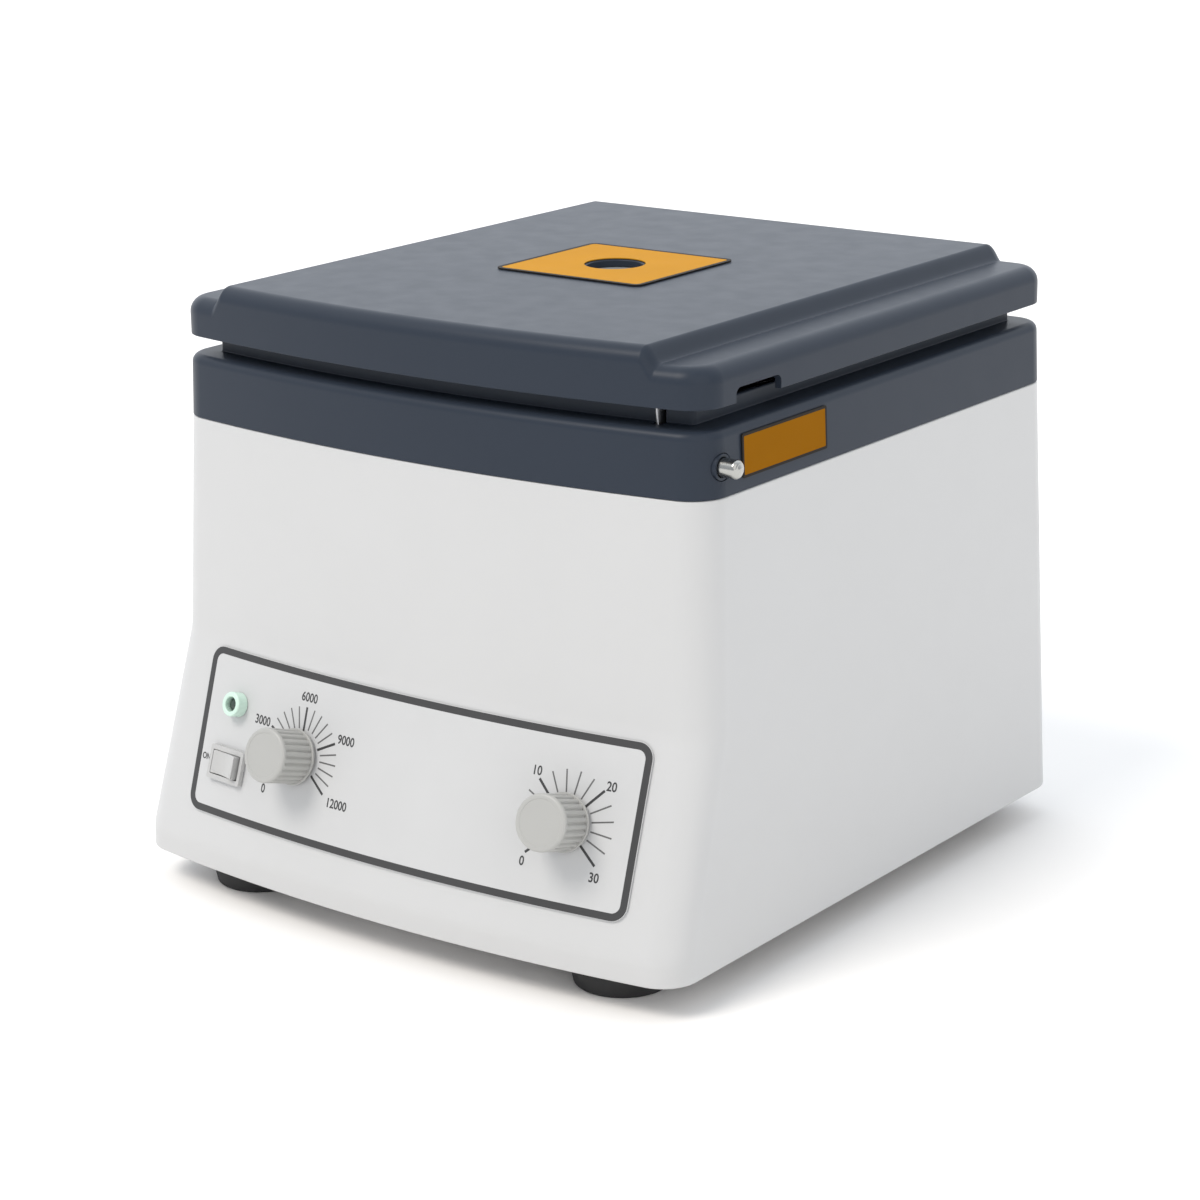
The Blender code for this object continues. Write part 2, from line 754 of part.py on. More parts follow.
# Frames on the casing's faces, from a point of the surface: X to the viewer's right, Y up and Z outwards
def frame_from(origin, right, normal):
    normal = Vector(normal).normalized()
    up = normal.cross(Vector(right)).normalized()
    right = up.cross(normal)
    return Matrix.Translation(origin) @ Matrix((right, up, normal)).transposed().to_4x4()


def panel_frame(x, height):
    probe = OVERRUN
    plan = housing_plan(height)
    y = front_y(x, plan)
    across = (front_y(x + probe, plan) - front_y(x - probe, plan)) / (2 * probe)
    rise = (front_y(x, housing_plan(height + probe)) - front_y(x, housing_plan(height - probe))) / (2 * probe)
    return frame_from((x, y, height), (1, across, 0), (across, -1, rise))


def rear_frame(x, height):
    lean = (BASE_REAR - SEAM_REAR) / (SEAM_HEIGHT - FOOT_HEIGHT)
    return frame_from((x, housing_plan(height).rear, height), (-1, 0, 0), (0, 1, lean))


def side_frame(y, height):
    lean = BAND_DRAFT / BAND_HEIGHT
    return frame_from((cover_plan(height).half, y, height), (0, 1, 0), (1, 0, lean))


# Casing
def boss_places():
    side = BASE_HALF_WIDTH - WALL - BOSS_RADIUS + BOSS_BITE
    front = -TOE_REACH + BOSS_FRONT_INSET
    rear = BASE_REAR - BOSS_REAR_INSET
    return [(-side, front), (side, front), (-side, rear), (side, rear)]


def housing():
    heights = [point.y for point in front_path()]
    obj = ring_surface("housing", [level(outline(housing_plan(height)), height) for height in heights])
    shell(obj, WALL)
    low = PLATE_TOP + GAP
    high = low + BOSS_LENGTH
    for number, (x, y) in enumerate(boss_places(), 1):
        join(obj, rod(f"boss_{number}", BOSS_RADIUS, (x, y, low), (x, y, high), PIN_STEPS))
        ends = [(x, y, low - OVERRUN), (x, y, high + OVERRUN)]
        cut(obj, rod(f"boss_bore_{number}", BOSS_BORE, *ends, PIN_STEPS))
    depth = WALL + OVERRUN
    cut(obj, *panel_cutters("housing"))
    half_width, half_height = INLET_BODY_WIDTH / 2 + GAP, INLET_BODY_HEIGHT / 2 + GAP
    hole = box("inlet_hole", (-half_width, -half_height, -depth), (half_width, half_height, OVERRUN))
    cut(obj, moved(hole, rear_frame(INLET_X, INLET_HEIGHT)))
    for number in range(VENT_COUNT):
        x = VENT_PITCH * (number - (VENT_COUNT - 1) / 2)
        slot = box(
            f"vent_{number + 1}",
            (x - VENT_WIDTH / 2, -VENT_LENGTH / 2, -depth),
            (x + VENT_WIDTH / 2, VENT_LENGTH / 2, OVERRUN),
        )
        cut(obj, moved(slot, rear_frame(0, VENT_HEIGHT)))
    return finished(obj, "white_plastic", root)


def foot_places():
    side = BASE_HALF_WIDTH - FOOT_SIDE_INSET
    front = -TOE_REACH + FOOT_FRONT_INSET
    rear = BASE_REAR - FOOT_REAR_INSET
    return {
        "front_left": (-side, front),
        "front_right": (side, front),
        "rear_left": (-side, rear),
        "rear_right": (side, rear),
    }


def base_plate():
    plans = [inset(housing_plan(height), WALL + GAP) for height in (FOOT_HEIGHT, PLATE_TOP)]
    rings = [level(outline(plan), height) for plan, height in zip(plans, (FOOT_HEIGHT, PLATE_TOP))]
    obj = ring_surface("base_plate", rings, fill_bottom=True, fill_top=True)
    low, high = FOOT_HEIGHT - OVERRUN, PLATE_TOP + OVERRUN
    for name, (x, y) in foot_places().items():
        cut(obj, rod(f"{name}_foot_hole", FOOT_STEM_RADIUS + GAP, (x, y, low), (x, y, high), PIN_STEPS))
    for number, (x, y) in enumerate(boss_places(), 1):
        cut(obj, rod(f"plate_screw_hole_{number}", BOSS_BORE, (x, y, low), (x, y, high), PIN_STEPS))
    for number, (x, y) in enumerate(standoff_places(), 1):
        ends = [(x, y, (PLATE_TOP + FOOT_HEIGHT) / 2), (x, y, PLATE_TOP + STANDOFF_HEIGHT)]
        join(obj, rod(f"standoff_{number}", STANDOFF_RADIUS, *ends, PIN_STEPS))
    return finished(obj, "steel", root)


def feet():
    head = PLATE_TOP + GAP
    profile = [
        (0, head + FOOT_HEAD_HEIGHT),
        (FOOT_STEM_RADIUS, head + FOOT_HEAD_HEIGHT),
        (FOOT_HEAD_RADIUS, head),
        (FOOT_STEM_RADIUS, head),
        (FOOT_STEM_RADIUS, FOOT_HEIGHT - GAP),
        (FOOT_RADIUS, FOOT_HEIGHT - GAP),
        (FOOT_RADIUS, FOOT_HEIGHT / 2),
        (FOOT_BOTTOM_RADIUS, FOOT_EDGE),
        (FOOT_BOTTOM_RADIUS - FOOT_EDGE, 0),
        (0, 0),
    ]
    for name, (x, y) in foot_places().items():
        obj = smooth(turned("foot_" + name, profile, steps=SMALL_STEPS))
        finished(obj, "black_rubber", root, Matrix.Translation((x, y, 0)))


def base_screws():
    under = FOOT_HEIGHT - GAP
    profile = [
        (0, under + SCREW_LENGTH),
        (SCREW_RADIUS, under + SCREW_LENGTH),
        (SCREW_RADIUS, under),
        (SCREW_HEAD_RADIUS, under),
        (SCREW_HEAD_RADIUS, under - SCREW_HEAD_HEIGHT / 2),
        (SCREW_RADIUS, under - SCREW_HEAD_HEIGHT),
        (0, under - SCREW_HEAD_HEIGHT),
    ]
    for number, (x, y) in enumerate(boss_places(), 1):
        obj = smooth(turned(f"base_screw_{number}", profile, steps=PIN_STEPS))
        finished(obj, "steel", root, Matrix.Translation((x, y, 0)))


def edge_rings(plan, top, radius, steps):
    """(plan, height) pairs of a rounded upper edge, from the wall up to the flat top."""
    pairs = []
    for step in range(steps + 1):
        angle = math.radians(90) * step / steps
        pairs.append((inset(plan, radius * (1 - math.cos(angle))), top - radius * (1 - math.sin(angle))))
    return pairs


def top_cover():
    plan = cover_plan(DECK_TOP - DECK_EDGE)
    levels = [(cover_plan(COVER_BOTTOM), COVER_BOTTOM), *edge_rings(plan, DECK_TOP, DECK_EDGE, BEND_STEPS)]
    rings = [level(outline(each), height) for each, height in levels]
    obj = shell(ring_surface("top_cover", rings, fill_top=True), WALL)
    join(obj, rim())
    opening = BOWL_RADIUS + BOWL_PLAY
    low, high = DECK_TOP - WALL - OVERRUN, DECK_TOP + OVERRUN
    cut(obj, rod("chamber_opening", opening, (0, AXIS_Y, low), (0, AXIS_Y, high), ROUND_STEPS))
    half = STRIKER_SHEET / 2 + STRIKER_PLAY
    near = LATCH_Y - STRIKER_HALF_WIDTH - STRIKER_PLAY
    far = LATCH_Y + STRIKER_HALF_WIDTH + STRIKER_PLAY
    high = DECK_TOP + RIM_HEIGHT + OVERRUN
    cut(obj, box("striker_slot", (STRIKER_X - half, near, low), (STRIKER_X + half, far, high)))
    out = SEAM_HALF_WIDTH + OVERRUN
    ends = [(out - 2 * OVERRUN - WALL, LATCH_Y, PIN_HEIGHT), (out, LATCH_Y, PIN_HEIGHT)]
    cut(obj, rod("bush_hole", PIN_RADIUS + GAP + BUSH_WALL + GAP, *ends))
    pad = SEAM_REAR - BAND_DRAFT
    low = DECK_TOP - HINGE_BODY_LEAF_LOW - GAP
    for side in (-1, 1):
        x = side * HINGE_X
        reach = HINGE_HALF_WIDTH + GAP
        corner = (x + reach, pad + OVERRUN, DECK_TOP + OVERRUN)
        cut(obj, box(f"hinge_pad_{side}", (x - reach, pad, low), corner))
    return finished(obj, "dark_plastic", root)


def rim():
    """The raised rim around the deck, rooted in the deck's own thickness."""
    outer = inset(cover_plan(DECK_TOP), RIM_INSET)
    inner = inset(cover_plan(DECK_TOP), RIM_INSET + RIM_WALL)
    low, high = DECK_TOP - WALL / 2, DECK_TOP + RIM_HEIGHT
    rings = [
        level(outline(outer), low),
        level(outline(outer), high),
        level(outline(inner), high),
        level(outline(inner), low),
    ]
    return ring_surface("rim", rings, closed=True)


# Chamber and motor
def chamber_bowl():
    top = DECK_TOP + GAP + BOWL_SHEET
    seat = DECK_TOP + GAP
    floor = DECK_TOP - BOWL_DEPTH
    outer = BOWL_RADIUS + BOWL_FLANGE
    inner = BOWL_RADIUS - BOWL_SHEET
    profile = [
        (outer, top),
        (outer, seat),
        (BOWL_RADIUS, seat),
        (BOWL_RADIUS, floor + BOWL_CORNER),
        (BOWL_RADIUS - BOWL_CORNER, floor),
        (BOWL_HOLE_RADIUS, floor),
        (BOWL_HOLE_RADIUS, floor + BOWL_SHEET),
        (inner - BOWL_CORNER, floor + BOWL_SHEET),
        (inner, floor + BOWL_SHEET + BOWL_CORNER),
        (inner, top),
    ]
    obj = smooth(turned("chamber_bowl", profile, closed=True))
    return finished(obj, "aluminium", chamber_axis)


def chamber_gasket():
    inner = BOWL_RADIUS + GASKET_INSET
    low = DECK_TOP + GAP + BOWL_SHEET + GAP
    high = LID_BOTTOM - GAP
    profile = ring_profile(inner, inner + GASKET_WIDTH, low, high)
    return finished(smooth(turned("chamber_gasket", profile, closed=True)), "black_rubber", chamber_axis)


def motor_plate():
    low = PLATE_TOP + GAP + DAMPER_HEIGHT + GAP
    profile = ring_profile(MOTOR_PLATE_HOLE, MOTOR_PLATE_RADIUS, low, low + MOTOR_PLATE_THICKNESS)
    obj = smooth(turned("motor_plate", profile, closed=True, steps=SMALL_STEPS))
    return finished(obj, "steel", chamber_axis)


def motor_dampers():
    low = PLATE_TOP + GAP
    high = low + DAMPER_HEIGHT
    middle = (low + high) / 2
    profile = [(0, high), (DAMPER_RADIUS, high), (DAMPER_WAIST, middle), (DAMPER_RADIUS, low), (0, low)]
    for number in range(DAMPER_COUNT):
        angle = math.radians(90) + 2 * math.pi * number / DAMPER_COUNT
        place = (DAMPER_CIRCLE * math.cos(angle), DAMPER_CIRCLE * math.sin(angle), 0)
        obj = smooth(turned(f"motor_damper_{number + 1}", profile, steps=SMALL_STEPS))
        finished(obj, "black_rubber", chamber_axis, Matrix.Translation(place))


def motor_bottom():
    return PLATE_TOP + GAP + DAMPER_HEIGHT + GAP + MOTOR_PLATE_THICKNESS + GAP


def motor_body():
    low = motor_bottom()
    high = DECK_TOP - BOWL_DEPTH - MOTOR_PLAY
    bore = SHAFT_RADIUS + SHAFT_CLEARANCE
    edge = MOTOR_RADIUS - MOTOR_EDGE
    profile = [
        (edge, high),
        (MOTOR_RADIUS, high - MOTOR_EDGE),
        (MOTOR_RADIUS, low + MOTOR_EDGE),
        (edge, low),
        (bore, low),
        (bore, high),
    ]
    obj = smooth(turned("motor_body", profile, closed=True, steps=SMALL_STEPS))
    return finished(obj, "steel", chamber_axis)


# Rotor
def shaft_top():
    return rotor_nut_bottom() + NUT_HEIGHT - NUT_CROWN - SHAFT_TOP_PLAY


def motor_shaft():
    low = motor_bottom() + SHAFT_INSET
    profile = [(0, shaft_top()), (SHAFT_RADIUS, shaft_top()), (SHAFT_RADIUS, low), (0, low)]
    return finished(smooth(turned("motor_shaft", profile, steps=SMALL_STEPS)), "steel", rotor_pivot)


def rotor_disc():
    rim_inner = ROTOR_RADIUS - ROTOR_RIM
    groove_inner = rim_inner - GROOVE_WIDTH
    groove_floor = ROTOR_TOP - GROOVE_DEPTH
    rim_top = ROTOR_TOP + ROTOR_RIM_RISE
    hub_top = ROTOR_TOP + HUB_RISE
    bore = SHAFT_RADIUS + SHAFT_CLEARANCE
    profile = [
        (ROTOR_RADIUS, rim_top),
        (ROTOR_RADIUS, ROTOR_BOTTOM),
        (LOWER_HUB_RADIUS, ROTOR_BOTTOM),
        (LOWER_HUB_RADIUS, ROTOR_BOTTOM - LOWER_HUB_DROP),
        (bore, ROTOR_BOTTOM - LOWER_HUB_DROP),
        (bore, hub_top),
        (HUB_RADIUS, hub_top),
        (HUB_RADIUS, ROTOR_TOP),
        (groove_inner, ROTOR_TOP),
        (groove_inner, groove_floor),
        (rim_inner, groove_floor),
        (rim_inner, rim_top),
    ]
    obj = smooth(turned("rotor_disc", profile, closed=True, steps=2 * SLOT_COUNT))
    near = HUB_RADIUS + SLOT_HUB_MARGIN
    far = groove_inner + SLOT_GROOVE_REACH
    half = SLOT_WIDTH / 2
    for number in range(SLOT_COUNT):
        low_corner = (near, -half, ROTOR_TOP - SLOT_DEPTH)
        slot = box(f"rotor_slot_{number + 1}", low_corner, (far, half, ROTOR_TOP + OVERRUN))
        cut(obj, moved(slot, Matrix.Rotation(2 * math.pi * (number + 1 / 2) / SLOT_COUNT, 4, "Z")))
    return finished(obj, "aluminium", rotor_pivot)


def rotor_gasket():
    outer = ROTOR_RADIUS - ROTOR_RIM - GAP
    inner = outer - GROOVE_WIDTH + 2 * GAP
    low = ROTOR_TOP - GROOVE_DEPTH + GAP
    high = ROTOR_TOP + HUB_RISE
    profile = ring_profile(inner, outer, low, high)
    return finished(smooth(turned("rotor_gasket", profile, closed=True)), "black_rubber", rotor_pivot)


def rotor_cover_bottom():
    return ROTOR_TOP + ROTOR_RIM_RISE + GAP


def rotor_nut_bottom():
    return rotor_cover_bottom() + ROTOR_COVER_THICKNESS + GAP


def rotor_cover():
    low = rotor_cover_bottom()
    high = low + ROTOR_COVER_THICKNESS
    bore = SHAFT_RADIUS + SHAFT_CLEARANCE
    outer = ROTOR_RADIUS - ROTOR_COVER_INSET
    profile = [
        (outer, high),
        (outer, low),
        (HUB_RADIUS, low),
        (HUB_RADIUS, ROTOR_TOP + HUB_RISE + GAP),
        (bore, ROTOR_TOP + HUB_RISE + GAP),
        (bore, high),
    ]
    return finished(smooth(turned("rotor_cover", profile, closed=True)), "aluminium", rotor_pivot)


def rotor_nut():
    low = rotor_nut_bottom()
    high = low + NUT_HEIGHT
    bore = SHAFT_RADIUS + SHAFT_CLEARANCE
    profile = [
        (0, high),
        (NUT_RADIUS - NUT_EDGE, high),
        (NUT_RADIUS, high - NUT_EDGE),
        (NUT_RADIUS, low),
        (bore, low),
        (bore, high - NUT_CROWN),
        (0, high - NUT_CROWN),
    ]
    obj = smooth(turned("rotor_nut", profile, steps=2 * NUT_GRIPS))
    for number in range(NUT_GRIPS):
        turn = Matrix.Rotation(2 * math.pi * number / NUT_GRIPS, 4, "Z")
        place = turn @ Vector((NUT_RADIUS, 0, low - OVERRUN))
        top = place + Vector((0, 0, high - low + 2 * OVERRUN))
        cut(obj, rod(f"nut_grip_{number + 1}", NUT_GRIP_DEPTH, place, top, PIN_STEPS // 2))
    return finished(obj, "black_plastic", rotor_pivot)


# Control panel and what is fitted through it
def slope_share():
    """Height gained for each length up the sloped face."""
    return math.cos(math.atan2(TOE_REACH - STEP_REACH, STEP_HEIGHT - TOE_HEIGHT))


def panel_cutters(owner):
    low = -WALL - OVERRUN
    cutters = []
    for name, x in (("speed", SPEED_X), ("timer", TIMER_X)):
        hole = rod(f"{owner}_{name}_hole", CONTROL_BUSH_RADIUS + GAP, (0, 0, low), (0, 0, OVERRUN))
        cutters.append(moved(hole, panel_frame(x, KNOB_LINE)))
    hole = rod(owner + "_indicator_hole", INDICATOR_BARREL + GAP, (0, 0, low), (0, 0, OVERRUN))
    cutters.append(moved(hole, panel_frame(INDICATOR_X, INDICATOR_HEIGHT)))
    half_width, half_height = SWITCH_BODY_WIDTH / 2 + GAP, SWITCH_BODY_HEIGHT / 2 + GAP
    hole = box(owner + "_switch_hole", (-half_width, -half_height, low), (half_width, half_height, OVERRUN))
    cutters.append(moved(hole, panel_frame(SWITCH_X, SWITCH_HEIGHT)))
    return cutters


def panel_columns():
    """(x, half length up the slope) pairs across the panel, with its rounded corners."""
    columns = []
    for step in range(CORNER_STEPS + 1):
        angle = math.radians(90) * step / CORNER_STEPS
        x = PANEL_HALF_WIDTH - PANEL_CORNER * (1 - math.cos(angle))
        columns.append((x, PANEL_LENGTH / 2 - PANEL_CORNER * (1 - math.sin(angle))))
    middle = [(x, PANEL_LENGTH / 2) for x in evenly(PANEL_HALF_WIDTH - PANEL_CORNER, PANEL_PARTS)]
    return [(-x, half) for x, half in columns] + middle + list(reversed(columns))


def control_panel():
    shape = bmesh.new()
    columns = []
    for x, half in panel_columns():
        column = []
        for side in (-1, 1):
            frame = panel_frame(PANEL_SHIFT + x, PANEL_HEIGHT + side * half * slope_share())
            column.append(shape.verts.new(frame @ Vector((0, 0, PANEL_FACE))))
        columns.append(column)
    for near, far in zip(columns, columns[1:]):
        shape.faces.new((near[0], far[0], far[1], near[1]))
    mesh = bpy.data.meshes.new("control_panel")
    shape.to_mesh(mesh)
    shape.free()
    obj = shell(smooth(new_object("control_panel", mesh)), PANEL_THICKNESS)
    cut(obj, *panel_cutters("panel"))
    return finished(obj, "panel_film", root)


def knob_top():
    return PANEL_FACE + GAP + KNOB_STANDOFF + KNOB_HEIGHT


def knob_ring(radius, height, flute):
    points = []
    count = 2 * FLUTE_COUNT
    for step in range(count):
        angle = 2 * math.pi * step / count
        reach = radius - flute * (1 - math.cos(FLUTE_COUNT * angle)) / 2
        points.append((reach * math.cos(angle), reach * math.sin(angle), height))
    return points


def control_knob(name, x):
    low = PANEL_FACE + GAP + KNOB_STANDOFF
    high = knob_top()
    grip = KNOB_RADIUS - KNOB_COLLAR_STEP
    rings = [
        knob_ring(KNOB_RADIUS, low, 0),
        knob_ring(KNOB_RADIUS, low + KNOB_COLLAR_HEIGHT, 0),
        knob_ring(grip, low + KNOB_COLLAR_HEIGHT, FLUTE_DEPTH),
        knob_ring(grip, high - KNOB_FACE_RIM, FLUTE_DEPTH),
        knob_ring(grip, high - KNOB_FACE_RIM + FLUTE_DEPTH, 0),
        knob_ring(grip, high - KNOB_EDGE, 0),
        knob_ring(grip - KNOB_EDGE, high, 0),
    ]
    obj = ring_surface(name + "_knob", rings, fill_bottom=True, fill_top=True)
    bore = CONTROL_SHAFT_RADIUS + GAP
    recess_top = low + CONTROL_NUT_HEIGHT + GAP
    profile = [
        (0, high - KNOB_TOP_WALL),
        (bore, high - KNOB_TOP_WALL),
        (bore, recess_top),
        (KNOB_RECESS_RADIUS, recess_top),
        (KNOB_RECESS_RADIUS, low - OVERRUN),
        (0, low - OVERRUN),
    ]
    cut(obj, turned(name + "_knob_bore", profile, steps=SMALL_STEPS))
    finished(obj, "knob_plastic", root, panel_frame(x, KNOB_LINE))
    low = -WALL - GAP - POT_DEPTH + SHAFT_INSET
    high = high - KNOB_TOP_WALL - GAP
    profile = [(0, high), (CONTROL_SHAFT_RADIUS, high), (CONTROL_SHAFT_RADIUS, low), (0, low)]
    shaft = smooth(turned(name + "_shaft", profile, steps=PIN_STEPS))
    finished(shaft, "steel", root, panel_frame(x, KNOB_LINE))


def control_bush(name, body_radius, body_top, body_bottom):
    """A threaded bush with its nut on the panel and a body behind it, bored for the shaft."""
    nut_low = PANEL_FACE + GAP
    nut_high = nut_low + CONTROL_NUT_HEIGHT
    bore = CONTROL_SHAFT_RADIUS + GAP
    floor = -WALL - GAP - POT_DEPTH + SHAFT_INSET - GAP
    profile = [
        (0, floor),
        (bore, floor),
        (bore, nut_high),
        (CONTROL_NUT_RADIUS, nut_high),
        (CONTROL_NUT_RADIUS, nut_low),
        (CONTROL_BUSH_RADIUS, nut_low),
        (CONTROL_BUSH_RADIUS, body_top),
        (body_radius, body_top),
        (body_radius, body_bottom),
        (0, body_bottom),
    ]
    return smooth(turned(name, profile, steps=SMALL_STEPS))


def speed_potentiometer():
    top = -WALL - GAP
    obj = control_bush("speed_potentiometer", POT_RADIUS, top, top - POT_DEPTH)
    return finished(obj, "steel", root, panel_frame(SPEED_X, KNOB_LINE))


def timer_unit():
    top = -WALL - GAP
    obj = control_bush("timer_unit", POT_RADIUS, top, top - POT_DEPTH)
    seat = top - TIMER_PLAY
    half = TIMER_SIDE / 2
    case = box("timer_case", (-half, -half, seat - TIMER_DEPTH), (half, half, seat))
    bore = CONTROL_SHAFT_RADIUS + GAP
    floor = top - POT_DEPTH + SHAFT_INSET - GAP
    cut(case, rod("timer_case_bore", bore, (0, 0, floor), (0, 0, seat + OVERRUN)))
    join(obj, case)
    return finished(obj, "black_plastic", root, panel_frame(TIMER_X, KNOB_LINE))


def power_switch():
    low = PANEL_FACE + GAP
    high = low + SWITCH_FRAME_THICKNESS
    half_width, half_height = SWITCH_FRAME_WIDTH / 2, SWITCH_FRAME_HEIGHT / 2
    obj = box("power_switch_body", (-half_width, -half_height, low), (half_width, half_height, high))
    bevelled(obj, SWITCH_FRAME_EDGE)
    half_width, half_height = SWITCH_BODY_WIDTH / 2, SWITCH_BODY_HEIGHT / 2
    corner = (half_width, half_height, (low + high) / 2)
    join(obj, box("switch_case", (-half_width, -half_height, -SWITCH_DEPTH), corner))
    half_width -= SWITCH_WALL
    half_height -= SWITCH_SIDE_WALL
    corner = (half_width, half_height, high + OVERRUN)
    cut(obj, box("switch_well", (-half_width, -half_height, -SWITCH_WELL), corner))
    finished(obj, "knob_plastic", root, panel_frame(SWITCH_X, SWITCH_HEIGHT))

    side = [
        (-ROCKER_HALF_LENGTH, ROCKER_END_RISE),
        (-ROCKER_FOOT_HALF_LENGTH, -ROCKER_FOOT_DROP),
        (0, -ROCKER_MIDDLE_DROP),
        (ROCKER_FOOT_HALF_LENGTH, -ROCKER_FOOT_DROP),
        (ROCKER_HALF_LENGTH, ROCKER_END_RISE),
        (0, ROCKER_MIDDLE_RISE),
    ]
    half = half_height - GAP
    rocker = stand_along_y(plate("power_rocker", side, -half, half))
    moved(rocker, Matrix.Rotation(-math.radians(ROCKER_REST_DEG), 4, "Y"))
    frame = panel_frame(SWITCH_X, SWITCH_HEIGHT) @ Matrix.Translation((0, 0, ROCKER_PIVOT))
    finished(rocker, "knob_plastic", root, frame)


def indicator():
    low = PANEL_FACE + GAP
    high = low + INDICATOR_RISE
    lens_top = high - INDICATOR_RECESS_DEPTH
    lens_low = lens_top - LENS_LENGTH
    profile = [
        (0, lens_low - GAP),
        (INDICATOR_RECESS, lens_low - GAP),
        (INDICATOR_RECESS, high),
        (INDICATOR_RADIUS - INDICATOR_EDGE, high),
        (INDICATOR_RADIUS, high - INDICATOR_EDGE),
        (INDICATOR_RADIUS, low),
        (INDICATOR_BARREL, low),
        (INDICATOR_BARREL, -INDICATOR_DEPTH),
        (0, -INDICATOR_DEPTH),
    ]
    bezel = smooth(turned("indicator_bezel", profile, steps=SMALL_STEPS))
    finished(bezel, "indicator_plastic", root, panel_frame(INDICATOR_X, INDICATOR_HEIGHT))
    radius = INDICATOR_RECESS - GAP
    profile = [
        (0, lens_top + LENS_DOME),
        (radius / 2, lens_top + LENS_DOME * math.cos(math.radians(30))),
        (radius, lens_top),
        (radius, lens_low),
        (0, lens_low),
    ]
    lens = smooth(turned("indicator_lens", profile, steps=PIN_STEPS))
    finished(lens, "black_plastic", root, panel_frame(INDICATOR_X, INDICATOR_HEIGHT))


# Lid
def lid_height(x):
    """The height of the lid's top across the raised field, its side slopes and the shoulders."""
    reaches = [FIELD_HALF_WIDTH + share * FIELD_SLOPE for share, _ in SLOPE_SHARES]
    heights = [SHOULDER_TOP + rise_share * FIELD_RISE for _, rise_share in SLOPE_SHARES]
    return float(numpy.interp(abs(x), reaches, heights))


def lid_places():
    slopes = [FIELD_HALF_WIDTH + share * FIELD_SLOPE for share, _ in SLOPE_SHARES]
    return [-x for x in reversed(slopes)] + evenly(FIELD_HALF_WIDTH, LID_PARTS) + slopes


def lid_shell():
    plan = cover_plan(DECK_TOP)
    places = lid_places()
    rings = [level(outline(plan, places, places), LID_BOTTOM)]
    for each, below in edge_rings(plan, 0, LID_EDGE, EDGE_STEPS):
        rings.append([(x, y, lid_height(x) + below) for x, y in outline(each, places, places)])
    obj = ring_surface("lid_shell", rings)
    fill_across(obj, len(rings) - 1, len(rings[0]), len(places))
    shell(smooth(obj), WALL)
    low, high = LID_BOTTOM, FIELD_TOP + OVERRUN
    cut(obj, rod("sight_hole", SIGHT_RADIUS, (0, AXIS_Y, low), (0, AXIS_Y, high)))
    out = SEAM_HALF_WIDTH
    notch = box(
        "skirt_notch",
        (out - WALL - 3 * OVERRUN, NOTCH_NEAR, LID_BOTTOM - 2 * OVERRUN),
        (out + 2 * OVERRUN, NOTCH_FAR, LID_BOTTOM + NOTCH_HEIGHT),
    )
    cut(obj, bevelled(notch, NOTCH_RADIUS, CORNER_STEPS))
    return on_lid(obj, "dark_plastic")


def fill_across(obj, row, size, count):
    """Fills the last ring with strips from front to back, and one face at each end."""
    shape = bmesh.new()
    shape.from_mesh(obj.data)
    shape.verts.ensure_lookup_table()
    ring = [shape.verts[row * size + place] for place in range(size)]
    front = ring[1 : count + 1]
    first = count + 2 + CORNER_STEPS + CORNER_STEPS + 1
    rear = list(reversed(ring[first : first + count]))
    for place in range(count - 1):
        shape.faces.new((front[place], front[place + 1], rear[place + 1], rear[place]))
    shape.faces.new(ring[count : first + 1])
    shape.faces.new(ring[first + count - 1 :] + ring[:2])
    shape.to_mesh(obj.data)
    shape.free()


def on_lid(obj, kind):
    return finished(obj, kind, lid_pivot, Matrix.Translation(-lid_pivot.location))


def lid_liner():
    plan = inset(cover_plan(DECK_TOP), WALL + GAP)
    sight = circle(COLLAR_INNER_RADIUS, (0, AXIS_Y))
    obj = plate("lid_liner", outline(plan), LID_BOTTOM, LID_BOTTOM + LINER_THICKNESS, [sight])
    top = FIELD_TOP - WALL - GAP - WINDOW_THICKNESS - GAP
    low = LID_BOTTOM + LINER_THICKNESS / 2
    profile = ring_profile(COLLAR_INNER_RADIUS, COLLAR_OUTER_RADIUS, low, top)
    collar = turned("collar", profile, True, SMALL_STEPS)
    collar.location = (0, AXIS_Y, 0)
    join(obj, collar)
    half_x = STRIKER_SHEET / 2 + LINER_SLOT_PLAY
    half_y = STRIKER_HALF_WIDTH + LINER_SLOT_PLAY
    near_corner = (STRIKER_X - half_x, LATCH_Y - half_y, LID_BOTTOM - OVERRUN)
    far_corner = (STRIKER_X + half_x, LATCH_Y + half_y, LID_BOTTOM + LINER_THICKNESS + OVERRUN)
    cut(obj, box("liner_slot", near_corner, far_corner))
    return on_lid(obj, "dark_plastic")


def sight_window():
    high = FIELD_TOP - WALL - GAP
    obj = plate("sight_window", circle(WINDOW_RADIUS, (0, AXIS_Y)), high - WINDOW_THICKNESS, high)
    return on_lid(obj, "clear_plastic")


def lid_label():
    shape = rounded_rectangle(LID_LABEL_WIDTH, LID_LABEL_DEPTH, LABEL_CORNER, (0, AXIS_Y))
    hole = circle(SIGHT_RADIUS + LABEL_HOLE_MARGIN, (0, AXIS_Y))
    low = FIELD_TOP + GAP
    return on_lid(plate("lid_label", shape, low, low + LABEL_THICKNESS, [hole]), "amber_label")


def side_label():
    shape = rounded_rectangle(SIDE_LABEL_LENGTH, SIDE_LABEL_HEIGHT, SIDE_LABEL_CORNER)
    obj = plate("side_label", shape, GAP, GAP + LABEL_THICKNESS)
    y = SIDE_LABEL_NEAR + SIDE_LABEL_LENGTH / 2
    height = SEAM_HEIGHT + SIDE_LABEL_RISE + SIDE_LABEL_HEIGHT / 2
    return finished(obj, "amber_label", root, side_frame(y, height))


